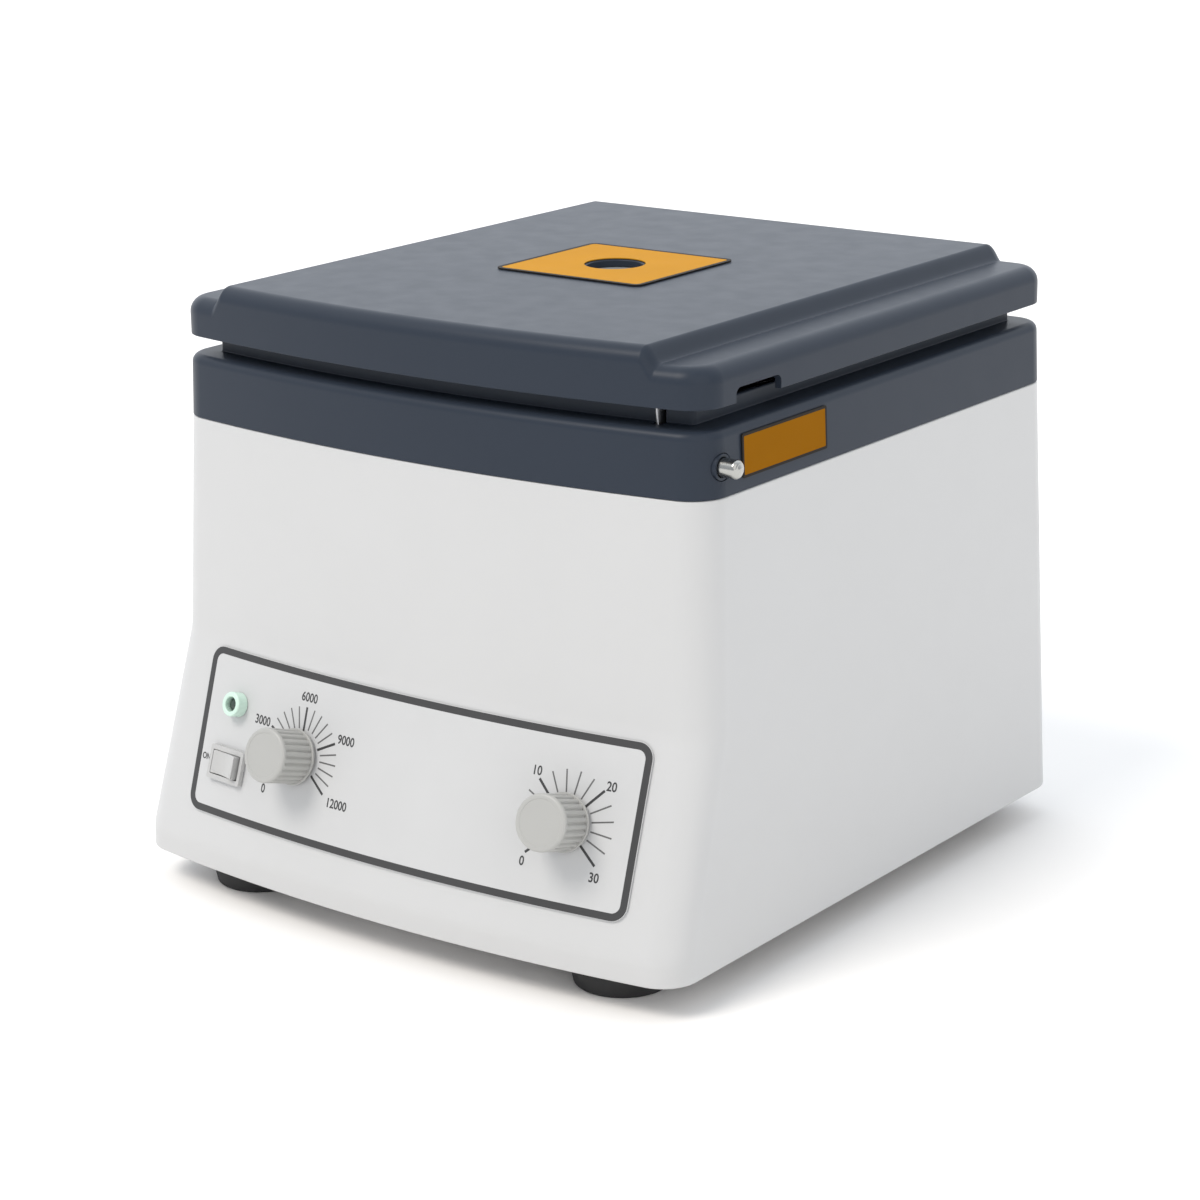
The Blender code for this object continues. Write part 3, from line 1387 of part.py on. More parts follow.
# Latch
def striker_window_low():
    return LID_BOTTOM - STRIKER_DROP + STRIKER_WINDOW_LOW


def latch_striker():
    half = STRIKER_SHEET / 2
    near, far = LATCH_Y - STRIKER_HALF_WIDTH, LATCH_Y + STRIKER_HALF_WIDTH
    seat = LID_BOTTOM + LINER_THICKNESS + GAP
    top = seat + STRIKER_SHEET
    bottom = LID_BOTTOM - STRIKER_DROP
    obj = box("latch_striker", (STRIKER_X - half, near, bottom), (STRIKER_X + half, far, top))
    join(obj, box("striker_flange", (STRIKER_X + half - STRIKER_FLANGE, near, seat), (STRIKER_X, far, top)))
    low = striker_window_low()
    near, far = LATCH_Y - STRIKER_WINDOW_HALF_WIDTH, LATCH_Y + STRIKER_WINDOW_HALF_WIDTH
    reach = half + OVERRUN
    corner = (STRIKER_X + reach, far, low + STRIKER_WINDOW_HEIGHT)
    cut(obj, box("striker_window", (STRIKER_X - reach, near, low), corner))
    return on_lid(obj, "steel")


def latch_hook():
    eye = []
    for step in range(SMALL_STEPS // 2 + 1):
        angle = math.pi * (1 + 2 * step / SMALL_STEPS)
        across, up = HOOK_EYE_RADIUS * math.cos(angle), HOOK_EYE_RADIUS * math.sin(angle)
        eye.append((HOOK_PIVOT_X + across, HOOK_PIVOT_HEIGHT + up))
    nose = striker_window_low() + HOOK_NOSE_PLAY
    waist = HOOK_PIVOT_HEIGHT + HOOK_EYE_RADIUS
    side = [
        *eye,
        (HOOK_FACE_X, waist),
        (HOOK_FACE_X, nose),
        (HOOK_NOSE_X, nose),
        (HOOK_NOSE_X, nose + HOOK_NOSE_HEIGHT),
        (HOOK_BACK_X, nose + HOOK_CROWN),
        (HOOK_BACK_X, waist + HOOK_EYE_RADIUS),
    ]
    bore = circle(HOOK_PIVOT_RADIUS + GAP, (HOOK_PIVOT_X, HOOK_PIVOT_HEIGHT), PIN_STEPS)
    half = HOOK_THICKNESS / 2
    obj = stand_along_y(plate("latch_hook", side, -half, half, [bore]), LATCH_Y)
    return finished(obj, "steel", hook_pivot, Matrix.Translation(-hook_pivot.location))


def latch_bracket():
    top = DECK_TOP - WALL - GAP
    low = HOOK_PIVOT_HEIGHT - BRACKET_BELOW_PIVOT
    near, far = LATCH_Y - BRACKET_FRONT_REACH, LATCH_Y + BRACKET_FRONT_REACH
    obj = box("latch_bracket", (BRACKET_X, near, low), (BRACKET_X + BRACKET_SHEET, far, top))
    corner = (BRACKET_X + BRACKET_FLANGE, far, top)
    join(obj, box("bracket_flange", (BRACKET_X, near, top - BRACKET_SHEET), corner))
    middle = BRACKET_X + BRACKET_SHEET / 2
    inner = HOOK_THICKNESS / 2 + GAP
    outer = inner + BRACKET_SHEET
    for name, near, far in (("front", -outer, -inner), ("back", inner, outer)):
        low_corner = (BRACKET_X - BRACKET_CHEEK, LATCH_Y + near, low)
        high_corner = (middle, LATCH_Y + far, low + BRACKET_CHEEK_HEIGHT)
        join(obj, box(f"bracket_{name}_cheek", low_corner, high_corner))
    start = (BRACKET_X - OVERRUN, LATCH_Y, PIN_HEIGHT)
    end = (BRACKET_X + BRACKET_SHEET + OVERRUN, LATCH_Y, PIN_HEIGHT)
    cut(obj, rod("bracket_rod_hole", PIN_ROD_RADIUS + GAP, start, end, PIN_STEPS))
    reach = outer + OVERRUN
    start = (HOOK_PIVOT_X, LATCH_Y - reach, HOOK_PIVOT_HEIGHT)
    end = (HOOK_PIVOT_X, LATCH_Y + reach, HOOK_PIVOT_HEIGHT)
    cut(obj, rod("bracket_pivot_hole", HOOK_PIVOT_RADIUS + GAP, start, end, PIN_STEPS))
    finished(obj, "steel", root)
    reach = outer + PIVOT_PIN_OVERHANG
    start = (HOOK_PIVOT_X, LATCH_Y - reach, HOOK_PIVOT_HEIGHT)
    end = (HOOK_PIVOT_X, LATCH_Y + reach, HOOK_PIVOT_HEIGHT)
    return finished(rod("latch_pivot_pin", HOOK_PIVOT_RADIUS, start, end, PIN_STEPS), "steel", root)


def along_x():
    """Turns a shape made about Z, with its heights as places along X, onto the release pin's axis."""
    return Matrix.Translation((0, LATCH_Y, PIN_HEIGHT)) @ Matrix.Rotation(math.radians(90), 4, "Y")


def release_pin():
    wall = cover_plan(PIN_HEIGHT).half
    tip = wall + PIN_REACH
    dome = []
    for step in range(CORNER_STEPS + 1):
        angle = math.radians(90) * step / CORNER_STEPS
        dome.append((PIN_RADIUS * math.sin(angle), tip - PIN_RADIUS * (1 - math.cos(angle))))
    shoulder = wall - PIN_SHOULDER_INSET
    profile = [
        *dome,
        (PIN_RADIUS, shoulder),
        (PIN_COLLAR_RADIUS, shoulder),
        (PIN_COLLAR_RADIUS, shoulder - PIN_COLLAR),
        (PIN_ROD_RADIUS, shoulder - PIN_COLLAR),
        (PIN_ROD_RADIUS, HOOK_FACE_X + GAP),
        (0, HOOK_FACE_X + GAP),
    ]
    finished(smooth(turned("release_pin", profile, steps=SMALL_STEPS)), "steel", root, along_x())

    bore = PIN_RADIUS + GAP
    outer = bore + BUSH_WALL
    start = shoulder + GAP
    profile = [
        (outer, wall + GAP),
        (outer, start + BUSH_FLANGE),
        (BUSH_FLANGE_RADIUS, start + BUSH_FLANGE),
        (BUSH_FLANGE_RADIUS, start),
        (bore, start),
        (bore, wall + GAP),
    ]
    bush = smooth(turned("release_pin_bush", profile, closed=True, steps=SMALL_STEPS))
    finished(bush, "dark_plastic", root, along_x())

    start = BRACKET_X + BRACKET_SHEET + GAP + SPRING_WIRE
    end = shoulder - PIN_COLLAR - GAP - SPRING_WIRE
    count = SPRING_TURNS * SPRING_POINTS
    points = []
    for step in range(count + 1):
        angle = 2 * math.pi * step / SPRING_POINTS
        across, up = SPRING_RADIUS * math.cos(angle), SPRING_RADIUS * math.sin(angle)
        points.append((start + (end - start) * step / count, LATCH_Y + across, PIN_HEIGHT + up))
    finished(tube("release_spring", points, SPRING_WIRE, 1), "steel", root)


# Hinges
def hinge_leaf(name, x, low, high, knuckles):
    """A flat leaf behind the casing, with risers to the given stretches of knuckle on the hinge's axis."""
    near = HINGE_Y - HINGE_KNUCKLE_RADIUS
    far = near + HINGE_SHEET
    obj = box(name, (x - HINGE_HALF_WIDTH, near, low), (x + HINGE_HALF_WIDTH, far, high))
    middle = (low + high) / 2
    for number, (start, end) in enumerate(knuckles, 1):
        reach = sorted((middle, HINGE_HEIGHT))
        join(obj, box(f"{name}_riser_{number}", (x + start, near, reach[0]), (x + end, far, reach[1])))
        ends = [(x + place, HINGE_Y, HINGE_HEIGHT) for place in (start, end)]
        join(obj, rod(f"{name}_knuckle_{number}", HINGE_KNUCKLE_RADIUS, *ends))
    reach = HINGE_HALF_WIDTH + OVERRUN
    ends = [(x + side * reach, HINGE_Y, HINGE_HEIGHT) for side in (-1, 1)]
    return cut(obj, rod(name + "_bore", HINGE_PIN_RADIUS + GAP, *ends, PIN_STEPS))


def hinges():
    outer = HINGE_MIDDLE_HALF_WIDTH + GAP
    for side, x in (("left", -HINGE_X), ("right", HINGE_X)):
        stretches = [(-HINGE_HALF_WIDTH, -outer), (outer, HINGE_HALF_WIDTH)]
        low, high = DECK_TOP - HINGE_BODY_LEAF_LOW, DECK_TOP - HINGE_BODY_LEAF_HIGH
        finished(hinge_leaf("hinge_body_leaf_" + side, x, low, high, stretches), "dark_plastic", root)
        stretches = [(-HINGE_MIDDLE_HALF_WIDTH, HINGE_MIDDLE_HALF_WIDTH)]
        low, high = LID_BOTTOM + HINGE_LID_LEAF_LOW, LID_BOTTOM + HINGE_LID_LEAF_HIGH
        on_lid(hinge_leaf("hinge_lid_leaf_" + side, x, low, high, stretches), "dark_plastic")
        ends = [(x + turn * HINGE_HALF_WIDTH, HINGE_Y, HINGE_HEIGHT) for turn in (-1, 1)]
        finished(rod("hinge_pin_" + side, HINGE_PIN_RADIUS, *ends, PIN_STEPS), "steel", root)


# Mains inlet, fuse, circuit board and leads
def centred_box(name, width, height, low, high, rise=0):
    return box(name, (-width / 2, rise - height / 2, low), (width / 2, rise + height / 2, high))


def power_inlet():
    face = GAP + INLET_FLANGE_THICKNESS
    obj = centred_box("power_inlet", INLET_FLANGE_WIDTH, INLET_FLANGE_HEIGHT, GAP, face)
    join(obj, centred_box("inlet_case", INLET_BODY_WIDTH, INLET_BODY_HEIGHT, -INLET_DEPTH, face / 2))
    floor = face - SOCKET_DEPTH
    cut(obj, centred_box("inlet_socket", SOCKET_WIDTH, SOCKET_HEIGHT, floor, face + OVERRUN, SOCKET_RISE))
    back = face + GAP - DRAWER_LENGTH - GAP
    slot = (DRAWER_WIDTH + 2 * GAP, DRAWER_HEIGHT + 2 * GAP)
    cut(obj, centred_box("drawer_slot", *slot, back, face + OVERRUN, -DRAWER_DROP))
    ends = (floor - PRONG_WIDTH, floor + PRONG_LENGTH)
    for number, (x, lift) in enumerate([(-1, -1), (0, 1), (1, -1)], 1):
        rise = SOCKET_RISE + lift * PRONG_LIFT
        prong = centred_box(f"prong_{number}", PRONG_WIDTH, PRONG_HEIGHT, *ends, rise)
        join(obj, moved(prong, Matrix.Translation((x * PRONG_SPREAD, 0, 0))))
    return finished(obj, "black_plastic", root, rear_frame(INLET_X, INLET_HEIGHT))


def fuse_drawer():
    seat = GAP + INLET_FLANGE_THICKNESS + GAP
    front = seat + DRAWER_FRONT_THICKNESS
    obj = centred_box("fuse_drawer", DRAWER_FRONT_WIDTH, DRAWER_FRONT_HEIGHT, seat, front, -DRAWER_DROP)
    ends = (seat - DRAWER_LENGTH, (seat + front) / 2)
    join(obj, centred_box("fuse_tray", DRAWER_WIDTH, DRAWER_HEIGHT, *ends, -DRAWER_DROP))
    middle = seat - FUSE_BACK
    half = FUSE_RADIUS + GAP
    reach = FUSE_LENGTH / 2 + GAP
    low = -DRAWER_DROP - half
    high = -DRAWER_DROP + DRAWER_HEIGHT / 2 + OVERRUN
    cut(obj, box("fuse_pocket", (-reach, low, middle - half), (reach, high, middle + half)))
    finished(obj, "black_plastic", root, rear_frame(INLET_X, INLET_HEIGHT))
    ends = [(side * FUSE_LENGTH / 2, -DRAWER_DROP, middle) for side in (-1, 1)]
    fuse = rod("fuse", FUSE_RADIUS, *ends, PIN_STEPS)
    return finished(fuse, "clear_plastic", root, rear_frame(INLET_X, INLET_HEIGHT))


def standoff_places():
    left = -BASE_HALF_WIDTH + BOARD_LEFT_INSET + STANDOFF_INSET
    right = left + BOARD_WIDTH - 2 * STANDOFF_INSET
    near = BOARD_FRONT + STANDOFF_INSET
    far = BOARD_FRONT + BOARD_DEPTH - STANDOFF_INSET
    return [(left, near), (right, near), (left, far), (right, far)]


def board_top():
    return PLATE_TOP + STANDOFF_HEIGHT + GAP + BOARD_THICKNESS


def circuit_board():
    left = -BASE_HALF_WIDTH + BOARD_LEFT_INSET
    top = board_top()
    low = top - BOARD_THICKNESS
    root_level = (low + top) / 2
    obj = box("circuit_board", (left, BOARD_FRONT, low), (left + BOARD_WIDTH, BOARD_FRONT + BOARD_DEPTH, top))
    x, y = left + STANDOFF_INSET, BOARD_FRONT + 2 * STANDOFF_INSET
    corner = (x + TRANSFORMER_WIDTH, y + TRANSFORMER_DEPTH, top + TRANSFORMER_HEIGHT)
    join(obj, box("transformer", (x, y, root_level), corner))
    y = BOARD_FRONT + BOARD_DEPTH - 2 * STANDOFF_INSET
    for number in range(2):
        across = (1 + 3 * number) * CAPACITOR_RADIUS
        place = Vector((x + across, y - CAPACITOR_RADIUS, root_level))
        end = place + Vector((0, 0, top + CAPACITOR_HEIGHT - root_level))
        join(obj, rod(f"capacitor_{number + 1}", CAPACITOR_RADIUS, place, end, PIN_STEPS))
    y -= 4 * CAPACITOR_RADIUS
    corner = (x + TRANSFORMER_WIDTH, y + HEAT_SINK_THICKNESS, top + HEAT_SINK_HEIGHT)
    join(obj, box("heat_sink", (x, y, root_level), corner))
    return finished(obj, "circuit_board", root)


def smooth_route(points):
    """Points of a smooth curve through a lead's route points."""
    points = [Vector(point) for point in points]
    padded = [2 * points[0] - points[1], *points, 2 * points[-1] - points[-2]]
    route = []
    for before, start, end, after in zip(padded, padded[1:], padded[2:], padded[3:]):
        out, into = (end - before) / 2, (after - start) / 2
        along = end - start
        for step in range(LEAD_PARTS):
            share = step / LEAD_PARTS
            bend = share**2 * (3 * along - 2 * out - into) + share**3 * (out + into - 2 * along)
            route.append(start + share * out + bend)
    return [*route, points[-1]]


def leads():
    back = rear_frame(INLET_X, INLET_HEIGHT)
    front = panel_frame(SWITCH_X, SWITCH_HEIGHT)
    start = back @ Vector((0, 0, -INLET_DEPTH - GAP))
    end = front @ Vector((0, 0, -SWITCH_DEPTH - GAP))
    straight = 3 * LEAD_RADIUS
    route = [
        back @ Vector((0, 0, -INLET_DEPTH - straight)),
        *MAINS_LEAD_ROUTE,
        front @ Vector((0, 0, -SWITCH_DEPTH - straight)),
    ]
    finished(tube("mains_lead", [start, *smooth_route(route), end], LEAD_RADIUS), "black_rubber", root)
    x, y, _ = MOTOR_LEAD_ROUTE[0]
    start = (x, y, board_top() + GAP)
    end = (-MOTOR_RADIUS - GAP, AXIS_Y, MOTOR_LEAD_ROUTE[-1][2])
    lead = tube("motor_lead", [start, *smooth_route(MOTOR_LEAD_ROUTE), end], LEAD_RADIUS)
    finished(lead, "black_rubber", root)


def front_reach():
    """How far the speed knob's face stands in front of the housing's front corner."""
    return (panel_frame(SPEED_X, KNOB_LINE) @ Vector((0, -KNOB_RADIUS, knob_top()))).y


def rear_reach():
    face = GAP + INLET_FLANGE_THICKNESS + GAP + DRAWER_FRONT_THICKNESS
    return (rear_frame(INLET_X, INLET_HEIGHT) @ Vector((0, 0, face))).y


for old in list(bpy.data.objects):
    bpy.data.objects.remove(old)
parts = new_collection("hematocrit_centrifuge")
helpers = new_collection("cutters")
root = new_pivot("centrifuge", (0, -(front_reach() + rear_reach()) / 2, 0))
chamber_axis = new_pivot("chamber_axis", (0, AXIS_Y, 0), root)
rotor_pivot = new_pivot("rotor_axis", (0, AXIS_Y, 0), root)
lid_pivot = new_pivot("lid_hinge_axis", (0, HINGE_Y, HINGE_HEIGHT), root)
hook_pivot = new_pivot("hook_axis", (HOOK_PIVOT_X, LATCH_Y, HOOK_PIVOT_HEIGHT), root)

housing()
base_plate()
feet()
base_screws()
top_cover()
chamber_bowl()
chamber_gasket()
motor_plate()
motor_dampers()
motor_body()
motor_shaft()
rotor_disc()
rotor_gasket()
rotor_cover()
rotor_nut()
control_panel()
speed_potentiometer()
timer_unit()
control_knob("speed", SPEED_X)
control_knob("timer", TIMER_X)
power_switch()
indicator()
lid_shell()
lid_liner()
sight_window()
lid_label()
side_label()
latch_striker()
latch_hook()
latch_bracket()
release_pin()
hinges()
power_inlet()
fuse_drawer()
circuit_board()
leads()
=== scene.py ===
"""The looks of the hematocrit centrifuge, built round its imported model.

Lengths are metres. Pieces are drawn in the casing's own frame, X to the right, Y to the back and Z up,
where Y = 0 is the front corner of the housing at its top edge. place() shifts them into the model's frame.
"""

import collections
import fnmatch
import json
import math

import bmesh
import bpy
import numpy
from mathutils import Matrix, Vector

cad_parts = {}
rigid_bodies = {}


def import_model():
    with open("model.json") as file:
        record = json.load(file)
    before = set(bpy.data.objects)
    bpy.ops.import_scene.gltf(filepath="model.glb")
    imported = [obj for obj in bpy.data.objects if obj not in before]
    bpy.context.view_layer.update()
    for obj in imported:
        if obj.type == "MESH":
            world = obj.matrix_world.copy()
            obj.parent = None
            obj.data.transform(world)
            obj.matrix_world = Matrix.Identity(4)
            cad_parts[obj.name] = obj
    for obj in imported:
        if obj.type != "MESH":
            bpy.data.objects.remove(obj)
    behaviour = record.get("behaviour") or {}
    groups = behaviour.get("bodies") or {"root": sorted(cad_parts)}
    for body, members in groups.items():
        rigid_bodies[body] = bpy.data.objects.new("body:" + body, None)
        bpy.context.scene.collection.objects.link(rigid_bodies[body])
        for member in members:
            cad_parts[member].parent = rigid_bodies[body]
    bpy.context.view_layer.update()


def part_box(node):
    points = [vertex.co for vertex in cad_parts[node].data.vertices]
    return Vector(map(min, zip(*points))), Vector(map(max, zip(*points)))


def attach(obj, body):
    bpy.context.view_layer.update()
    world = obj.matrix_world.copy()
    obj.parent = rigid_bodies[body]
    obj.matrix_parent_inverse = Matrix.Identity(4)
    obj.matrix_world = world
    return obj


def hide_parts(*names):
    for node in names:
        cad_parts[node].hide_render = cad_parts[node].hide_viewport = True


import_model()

# Fineness of the curved shapes
CORNER_STEPS = 10
BEND_STEPS = 10
FRONT_PARTS = 40
LIP_STEPS = 3
BEVEL_STEPS = 2
ROUND_STEPS = 128
SMALL_STEPS = 48
SMOOTH_DEG = 32
SOFT_DEG = 40
QUARTER = math.radians(90)

# Play between pieces, overlap of cutting tools, step for measuring a slope, distance at which vertices weld
GAP = 0.0003
OVERRUN = 0.003
PROBE = 0.003
WELD = 0.000002

# Casing: the model's own driving sizes
FOOT_HEIGHT = 0.0145
SEAM_HEIGHT = 0.2067
SEAM_HALF_WIDTH = 0.140
BASE_HALF_WIDTH = 0.1466
SEAM_REAR = 0.2723
BASE_REAR = 0.2762
STEP_HEIGHT = 0.1105
STEP_REACH = 0.0041
STEP_RADIUS = 0.030
TOE_HEIGHT = 0.025
TOE_REACH = 0.031
TOE_RADIUS = 0.018
FRONT_BOW = 0.0097
FRONT_RADIUS = 0.0165
REAR_RADIUS = 0.0146
LEAST_CORNER = 0.001
WALL = 0.003
HOUSING_LIP = 0.0008
COVER_LIP = 0.0005
SHIFT_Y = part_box("housing")[1].y - BASE_REAR

# Vents in the back
VENT_COUNT = 10
VENT_WIDTH = 0.003
VENT_LENGTH = 0.045
VENT_PITCH = 0.008
VENT_HEIGHT = 0.130

# Band, deck and rim under the lid
BAND_HEIGHT = 0.0273
BAND_DRAFT = 0.00093
DECK_EDGE = 0.004
RIM_INSET = 0.013
RIM_WALL = 0.003
RIM_HEIGHT = 0.007
RIM_FILLET = 0.0008
DECK_TOP = SEAM_HEIGHT + BAND_HEIGHT
COVER_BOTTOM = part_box("top_cover")[0].z

# Lid
LID_GAP = 0.0085
SHOULDER_HEIGHT = 0.0165
FIELD_RISE = 0.007
FIELD_HALF_WIDTH = 0.110
FIELD_SLOPE = 0.007
SLOPE_STEPS = 14
FIELD_STEPS = 16
LID_EDGE = 0.007
LID_BOTTOM = DECK_TOP + LID_GAP
SHOULDER_TOP = LID_BOTTOM + SHOULDER_HEIGHT
FIELD_TOP = SHOULDER_TOP + FIELD_RISE
NOTCH_NEAR = 0.0247
NOTCH_FAR = 0.0561
NOTCH_HEIGHT = 0.0061
NOTCH_RADIUS = 0.003
SIGHT_RADIUS = 0.0125
AXIS_LEAD = 0.003
AXIS_Y = SEAM_REAR / 2 - AXIS_LEAD
SIGHT_CHAMFER = 0.0004
LID_LIP = 0.0005
RIM_EDGE = 0.0008
FILLET_SHARE = 1 - math.cos(math.radians(45))
VENT_FLAT = 0.0001

# Fittings in the housing's bottom
PLATE_THICKNESS = 0.002
BOSS_LOW = FOOT_HEIGHT + PLATE_THICKNESS + GAP
BOSS_RADIUS = 0.005
BOSS_BITE = 0.0008
BOSS_BORE = 0.0022
BOSS_LENGTH = 0.023
BOSS_FRONT_INSET = 0.071
BOSS_REAR_INSET = 0.046
SCREW_RADIUS = 0.0019
SCREW_LENGTH = 0.0115
SCREW_HEAD_RADIUS = 0.0038
SCREW_HEAD_HEIGHT = 0.002
SCREW_ROUND = 0.0012
CROSS_DEPTH = 0.0009
CROSS_REACH = 0.0018
CROSS_WIDTH = 0.0007
FOOT_RADIUS = 0.022
FOOT_BOTTOM_RADIUS = 0.0205
FOOT_EDGE = 0.0012
FOOT_SHOULDER = 0.006
FOOT_DIMPLE = 0.006
FOOT_STEM_RADIUS = 0.0035
FOOT_HEAD_RADIUS = 0.006
FOOT_HEAD_HEIGHT = 0.003
FOOT_SIDE_INSET = 0.0466
FOOT_FRONT_INSET = 0.030
FOOT_REAR_INSET = 0.028

# Chamber and rotor
BOWL_FLANGE = 0.007
BOWL_RADIUS = 0.110
BOWL_SHEET = 0.0012
BOWL_DEPTH = 0.050
BOWL_CORNER = 0.006
BOWL_HOLE_RADIUS = 0.014
BOWL_PLAY = 0.0005
BOWL_LIP = 0.0003
BOWL_ROUND = 0.0008
BOWL_STEPS = 7
GASKET_WIDTH = 0.005
GASKET_INSET = 0.0015
GASKET_EDGE = 0.0012
SHAFT_RADIUS = 0.004
ROTOR_DROP = 0.031
ROTOR_RADIUS = 0.100
ROTOR_THICKNESS = 0.007
ROTOR_RIM = 0.004
ROTOR_RIM_RISE = 0.003
ROTOR_EDGE = 0.0005
GROOVE_WIDTH = 0.003
GROOVE_DEPTH = 0.004
HUB_RADIUS = 0.016
HUB_RISE = 0.002
LOWER_HUB_RADIUS = 0.012
LOWER_HUB_DROP = 0.005
SLOT_COUNT = 24
SLOT_WIDTH = 0.002
SLOT_DEPTH = 0.004
SLOT_HUB_MARGIN = 0.002
SLOT_GROOVE_REACH = 0.001
ROTOR_COVER_INSET = 0.002
ROTOR_COVER_THICKNESS = 0.002
NUT_RADIUS = 0.014
NUT_HEIGHT = 0.0144
NUT_EDGE = 0.0015
NUT_FOOT_EDGE = 0.0005
NUT_CROWN = 0.003
NUT_GRIPS = 12
NUT_GRIP_DEPTH = 0.0012

# Control panel, its print and what is fitted through it
PANEL_SHIFT = 0.0025
PANEL_HALF_WIDTH = 0.1192
PANEL_LENGTH = 0.0729
PANEL_CORNER = 0.007
PANEL_HEIGHT = 0.073
KNOB_LINE = 0.0722
PANEL_THICKNESS = 0.0006
PANEL_FACE = GAP + PANEL_THICKNESS
INK_SINK = 0.00002
INK_RISE = 0.00004
INK_LOW = PANEL_FACE - INK_SINK
INK_HIGH = PANEL_FACE + INK_RISE
BORDER_MARGIN = 0.0002
BORDER_WIDTH = 0.0031
MAJOR_NEAR = 0.0108
MINOR_NEAR = 0.0120
MAJOR_WIDTH = 0.0011
MINOR_WIDTH = 0.00068
SCALE_PARTS = 5
TEXT_SIZE = 0.0055
TEXT_SQUEEZE = 0.86
TEXT_WEIGHT = 0.00011
TEXT_STEPS = 4
SWITCH_TEXT_SHARE = 0.7
SPEED_X = -0.055
SPEED_SPOT = (-0.0534, 0.0727)
SPEED_SWEEP = 128
SPEED_TICK_FAR = 0.0213
SPEED_NUMERALS = [
    ("0", (-0.0716, 0.0558)),
    ("3000", (-0.0785, 0.0828)),
    ("6000", (-0.0529, 0.0972)),
    ("9000", (-0.0284, 0.0839)),
    ("12000", (-0.0281, 0.0578)),
]
TIMER_X = 0.0876
TIMER_SPOT = (0.0877, 0.0718)
TIMER_SWEEP = 132
TIMER_TICK_FAR = 0.0220
TIMER_NUMERALS = [
    ("0", (0.0705, 0.0543)),
    ("10", (0.0707, 0.0899)),
    ("20", (0.1058, 0.0889)),
    ("30", (0.1046, 0.0534)),
]
KNOB_RADIUS = 0.0122
KNOB_HEIGHT = 0.0185
KNOB_STANDOFF = 0.0012
KNOB_COLLAR_HEIGHT = 0.0012
KNOB_COLLAR_STEP = 0.0004
KNOB_FOOT_EDGE = 0.0002
KNOB_EDGE = 0.0012
KNOB_FACE_RIM = 0.0026
KNOB_FACE_MARGIN = 0.0021
KNOB_DISH = 0.00015
KNOB_RECESS_RADIUS = 0.0075
KNOB_TOP_WALL = 0.003
FLUTE_COUNT = 24
FLUTE_STEPS = 14
FLUTE_POWER = 2.6
FLUTE_DEPTH = 0.0009
CONTROL_BUSH_RADIUS = 0.0047
CONTROL_NUT_HEIGHT = 0.0022
CONTROL_SHAFT_RADIUS = 0.003
SWITCH_X = -0.095
SWITCH_HEIGHT = 0.0604
SWITCH_MARK = ("ON", (-0.1100, 0.0612))
SWITCH_FRAME_WIDTH = 0.021
SWITCH_FRAME_HEIGHT = 0.015
SWITCH_FRAME_CORNER = 0.001
SWITCH_FRAME_THICKNESS = 0.002
SWITCH_FRAME_EDGE = 0.0006
SWITCH_BODY_WIDTH = 0.0188
SWITCH_BODY_HEIGHT = 0.0128
SWITCH_DEPTH = 0.016
SWITCH_WALL = 0.0005
SWITCH_SIDE_WALL = 0.001
SWITCH_WELL = 0.005
SWITCH_WELL_CORNER = 0.0005
ROCKER_HALF_LENGTH = 0.0082
ROCKER_FOOT_HALF_LENGTH = 0.0074
ROCKER_END_RISE = 0.0032
ROCKER_MIDDLE_RISE = 0.0016
ROCKER_FOOT_DROP = 0.003
ROCKER_MIDDLE_DROP = 0.004
ROCKER_PIVOT = 0.0016
ROCKER_REST_DEG = 9
ROCKER_EDGE = 0.0005
ROCKER_EDGE_DEG = 50
INDICATOR_X = -0.0945
INDICATOR_HEIGHT = 0.086
INDICATOR_RADIUS = 0.0054
INDICATOR_RISE = 0.0052
INDICATOR_EDGE = 0.0007
INDICATOR_LIP = 0.0004
INDICATOR_RECESS = 0.00325
INDICATOR_RECESS_DEPTH = 0.0028
INDICATOR_BARREL = 0.004
INDICATOR_DEPTH = 0.012
LENS_DOME = 0.0012
LENS_LENGTH = 0.006

# Labels, sight window and liner
LID_LABEL_SIZE = (0.078, 0.072)
LABEL_CORNER = 0.004
LABEL_THICKNESS = 0.0004
LABEL_HOLE_MARGIN = 0.001
LABEL_EDGE_OVER = 0.00005
LABEL_EDGE_WIDTH = 0.002
SIDE_LABEL_NEAR = 0.0273
SIDE_LABEL_SIZE = (0.0604, 0.0178)
SIDE_LABEL_RISE = 0.0053
SIDE_LABEL_CORNER = 0.001
SIDE_EDGE_WIDTH = 0.0011
LINER_THICKNESS = 0.002
NOTCH_DEPTH = 0.016
WINDOW_RADIUS = 0.017
WINDOW_INNER = 0.001
WINDOW_THICKNESS = 0.003
WINDOW_EDGE = 0.0004
COLLAR_INNER_RADIUS = 0.0145
COLLAR_OUTER_RADIUS = 0.0190

# Latch and release pin
LATCH_Y = 0.0147
PIN_RISE = 0.0124
PIN_HEIGHT = SEAM_HEIGHT + PIN_RISE
PIN_RADIUS = 0.0039
PIN_REACH = 0.0087
PIN_ROUND = 0.0018
PIN_BULGE = 0.0006
PIN_SHOULDER_INSET = 0.0086
PIN_COLLAR_RADIUS = 0.006
PIN_COLLAR = 0.002
PIN_ROD_RADIUS = 0.0025
BUSH_WALL = 0.0012
BUSH_FLANGE_RADIUS = 0.0064
BUSH_FLANGE = 0.0015
BUSH_EDGE = 0.0002
HOOK_FACE_X = 0.109
STRIKER_X = 0.112
STRIKER_SHEET = 0.0015
STRIKER_HALF_WIDTH = 0.00525
STRIKER_PLAY = 0.0015
LINER_SLOT_PLAY = 0.0004

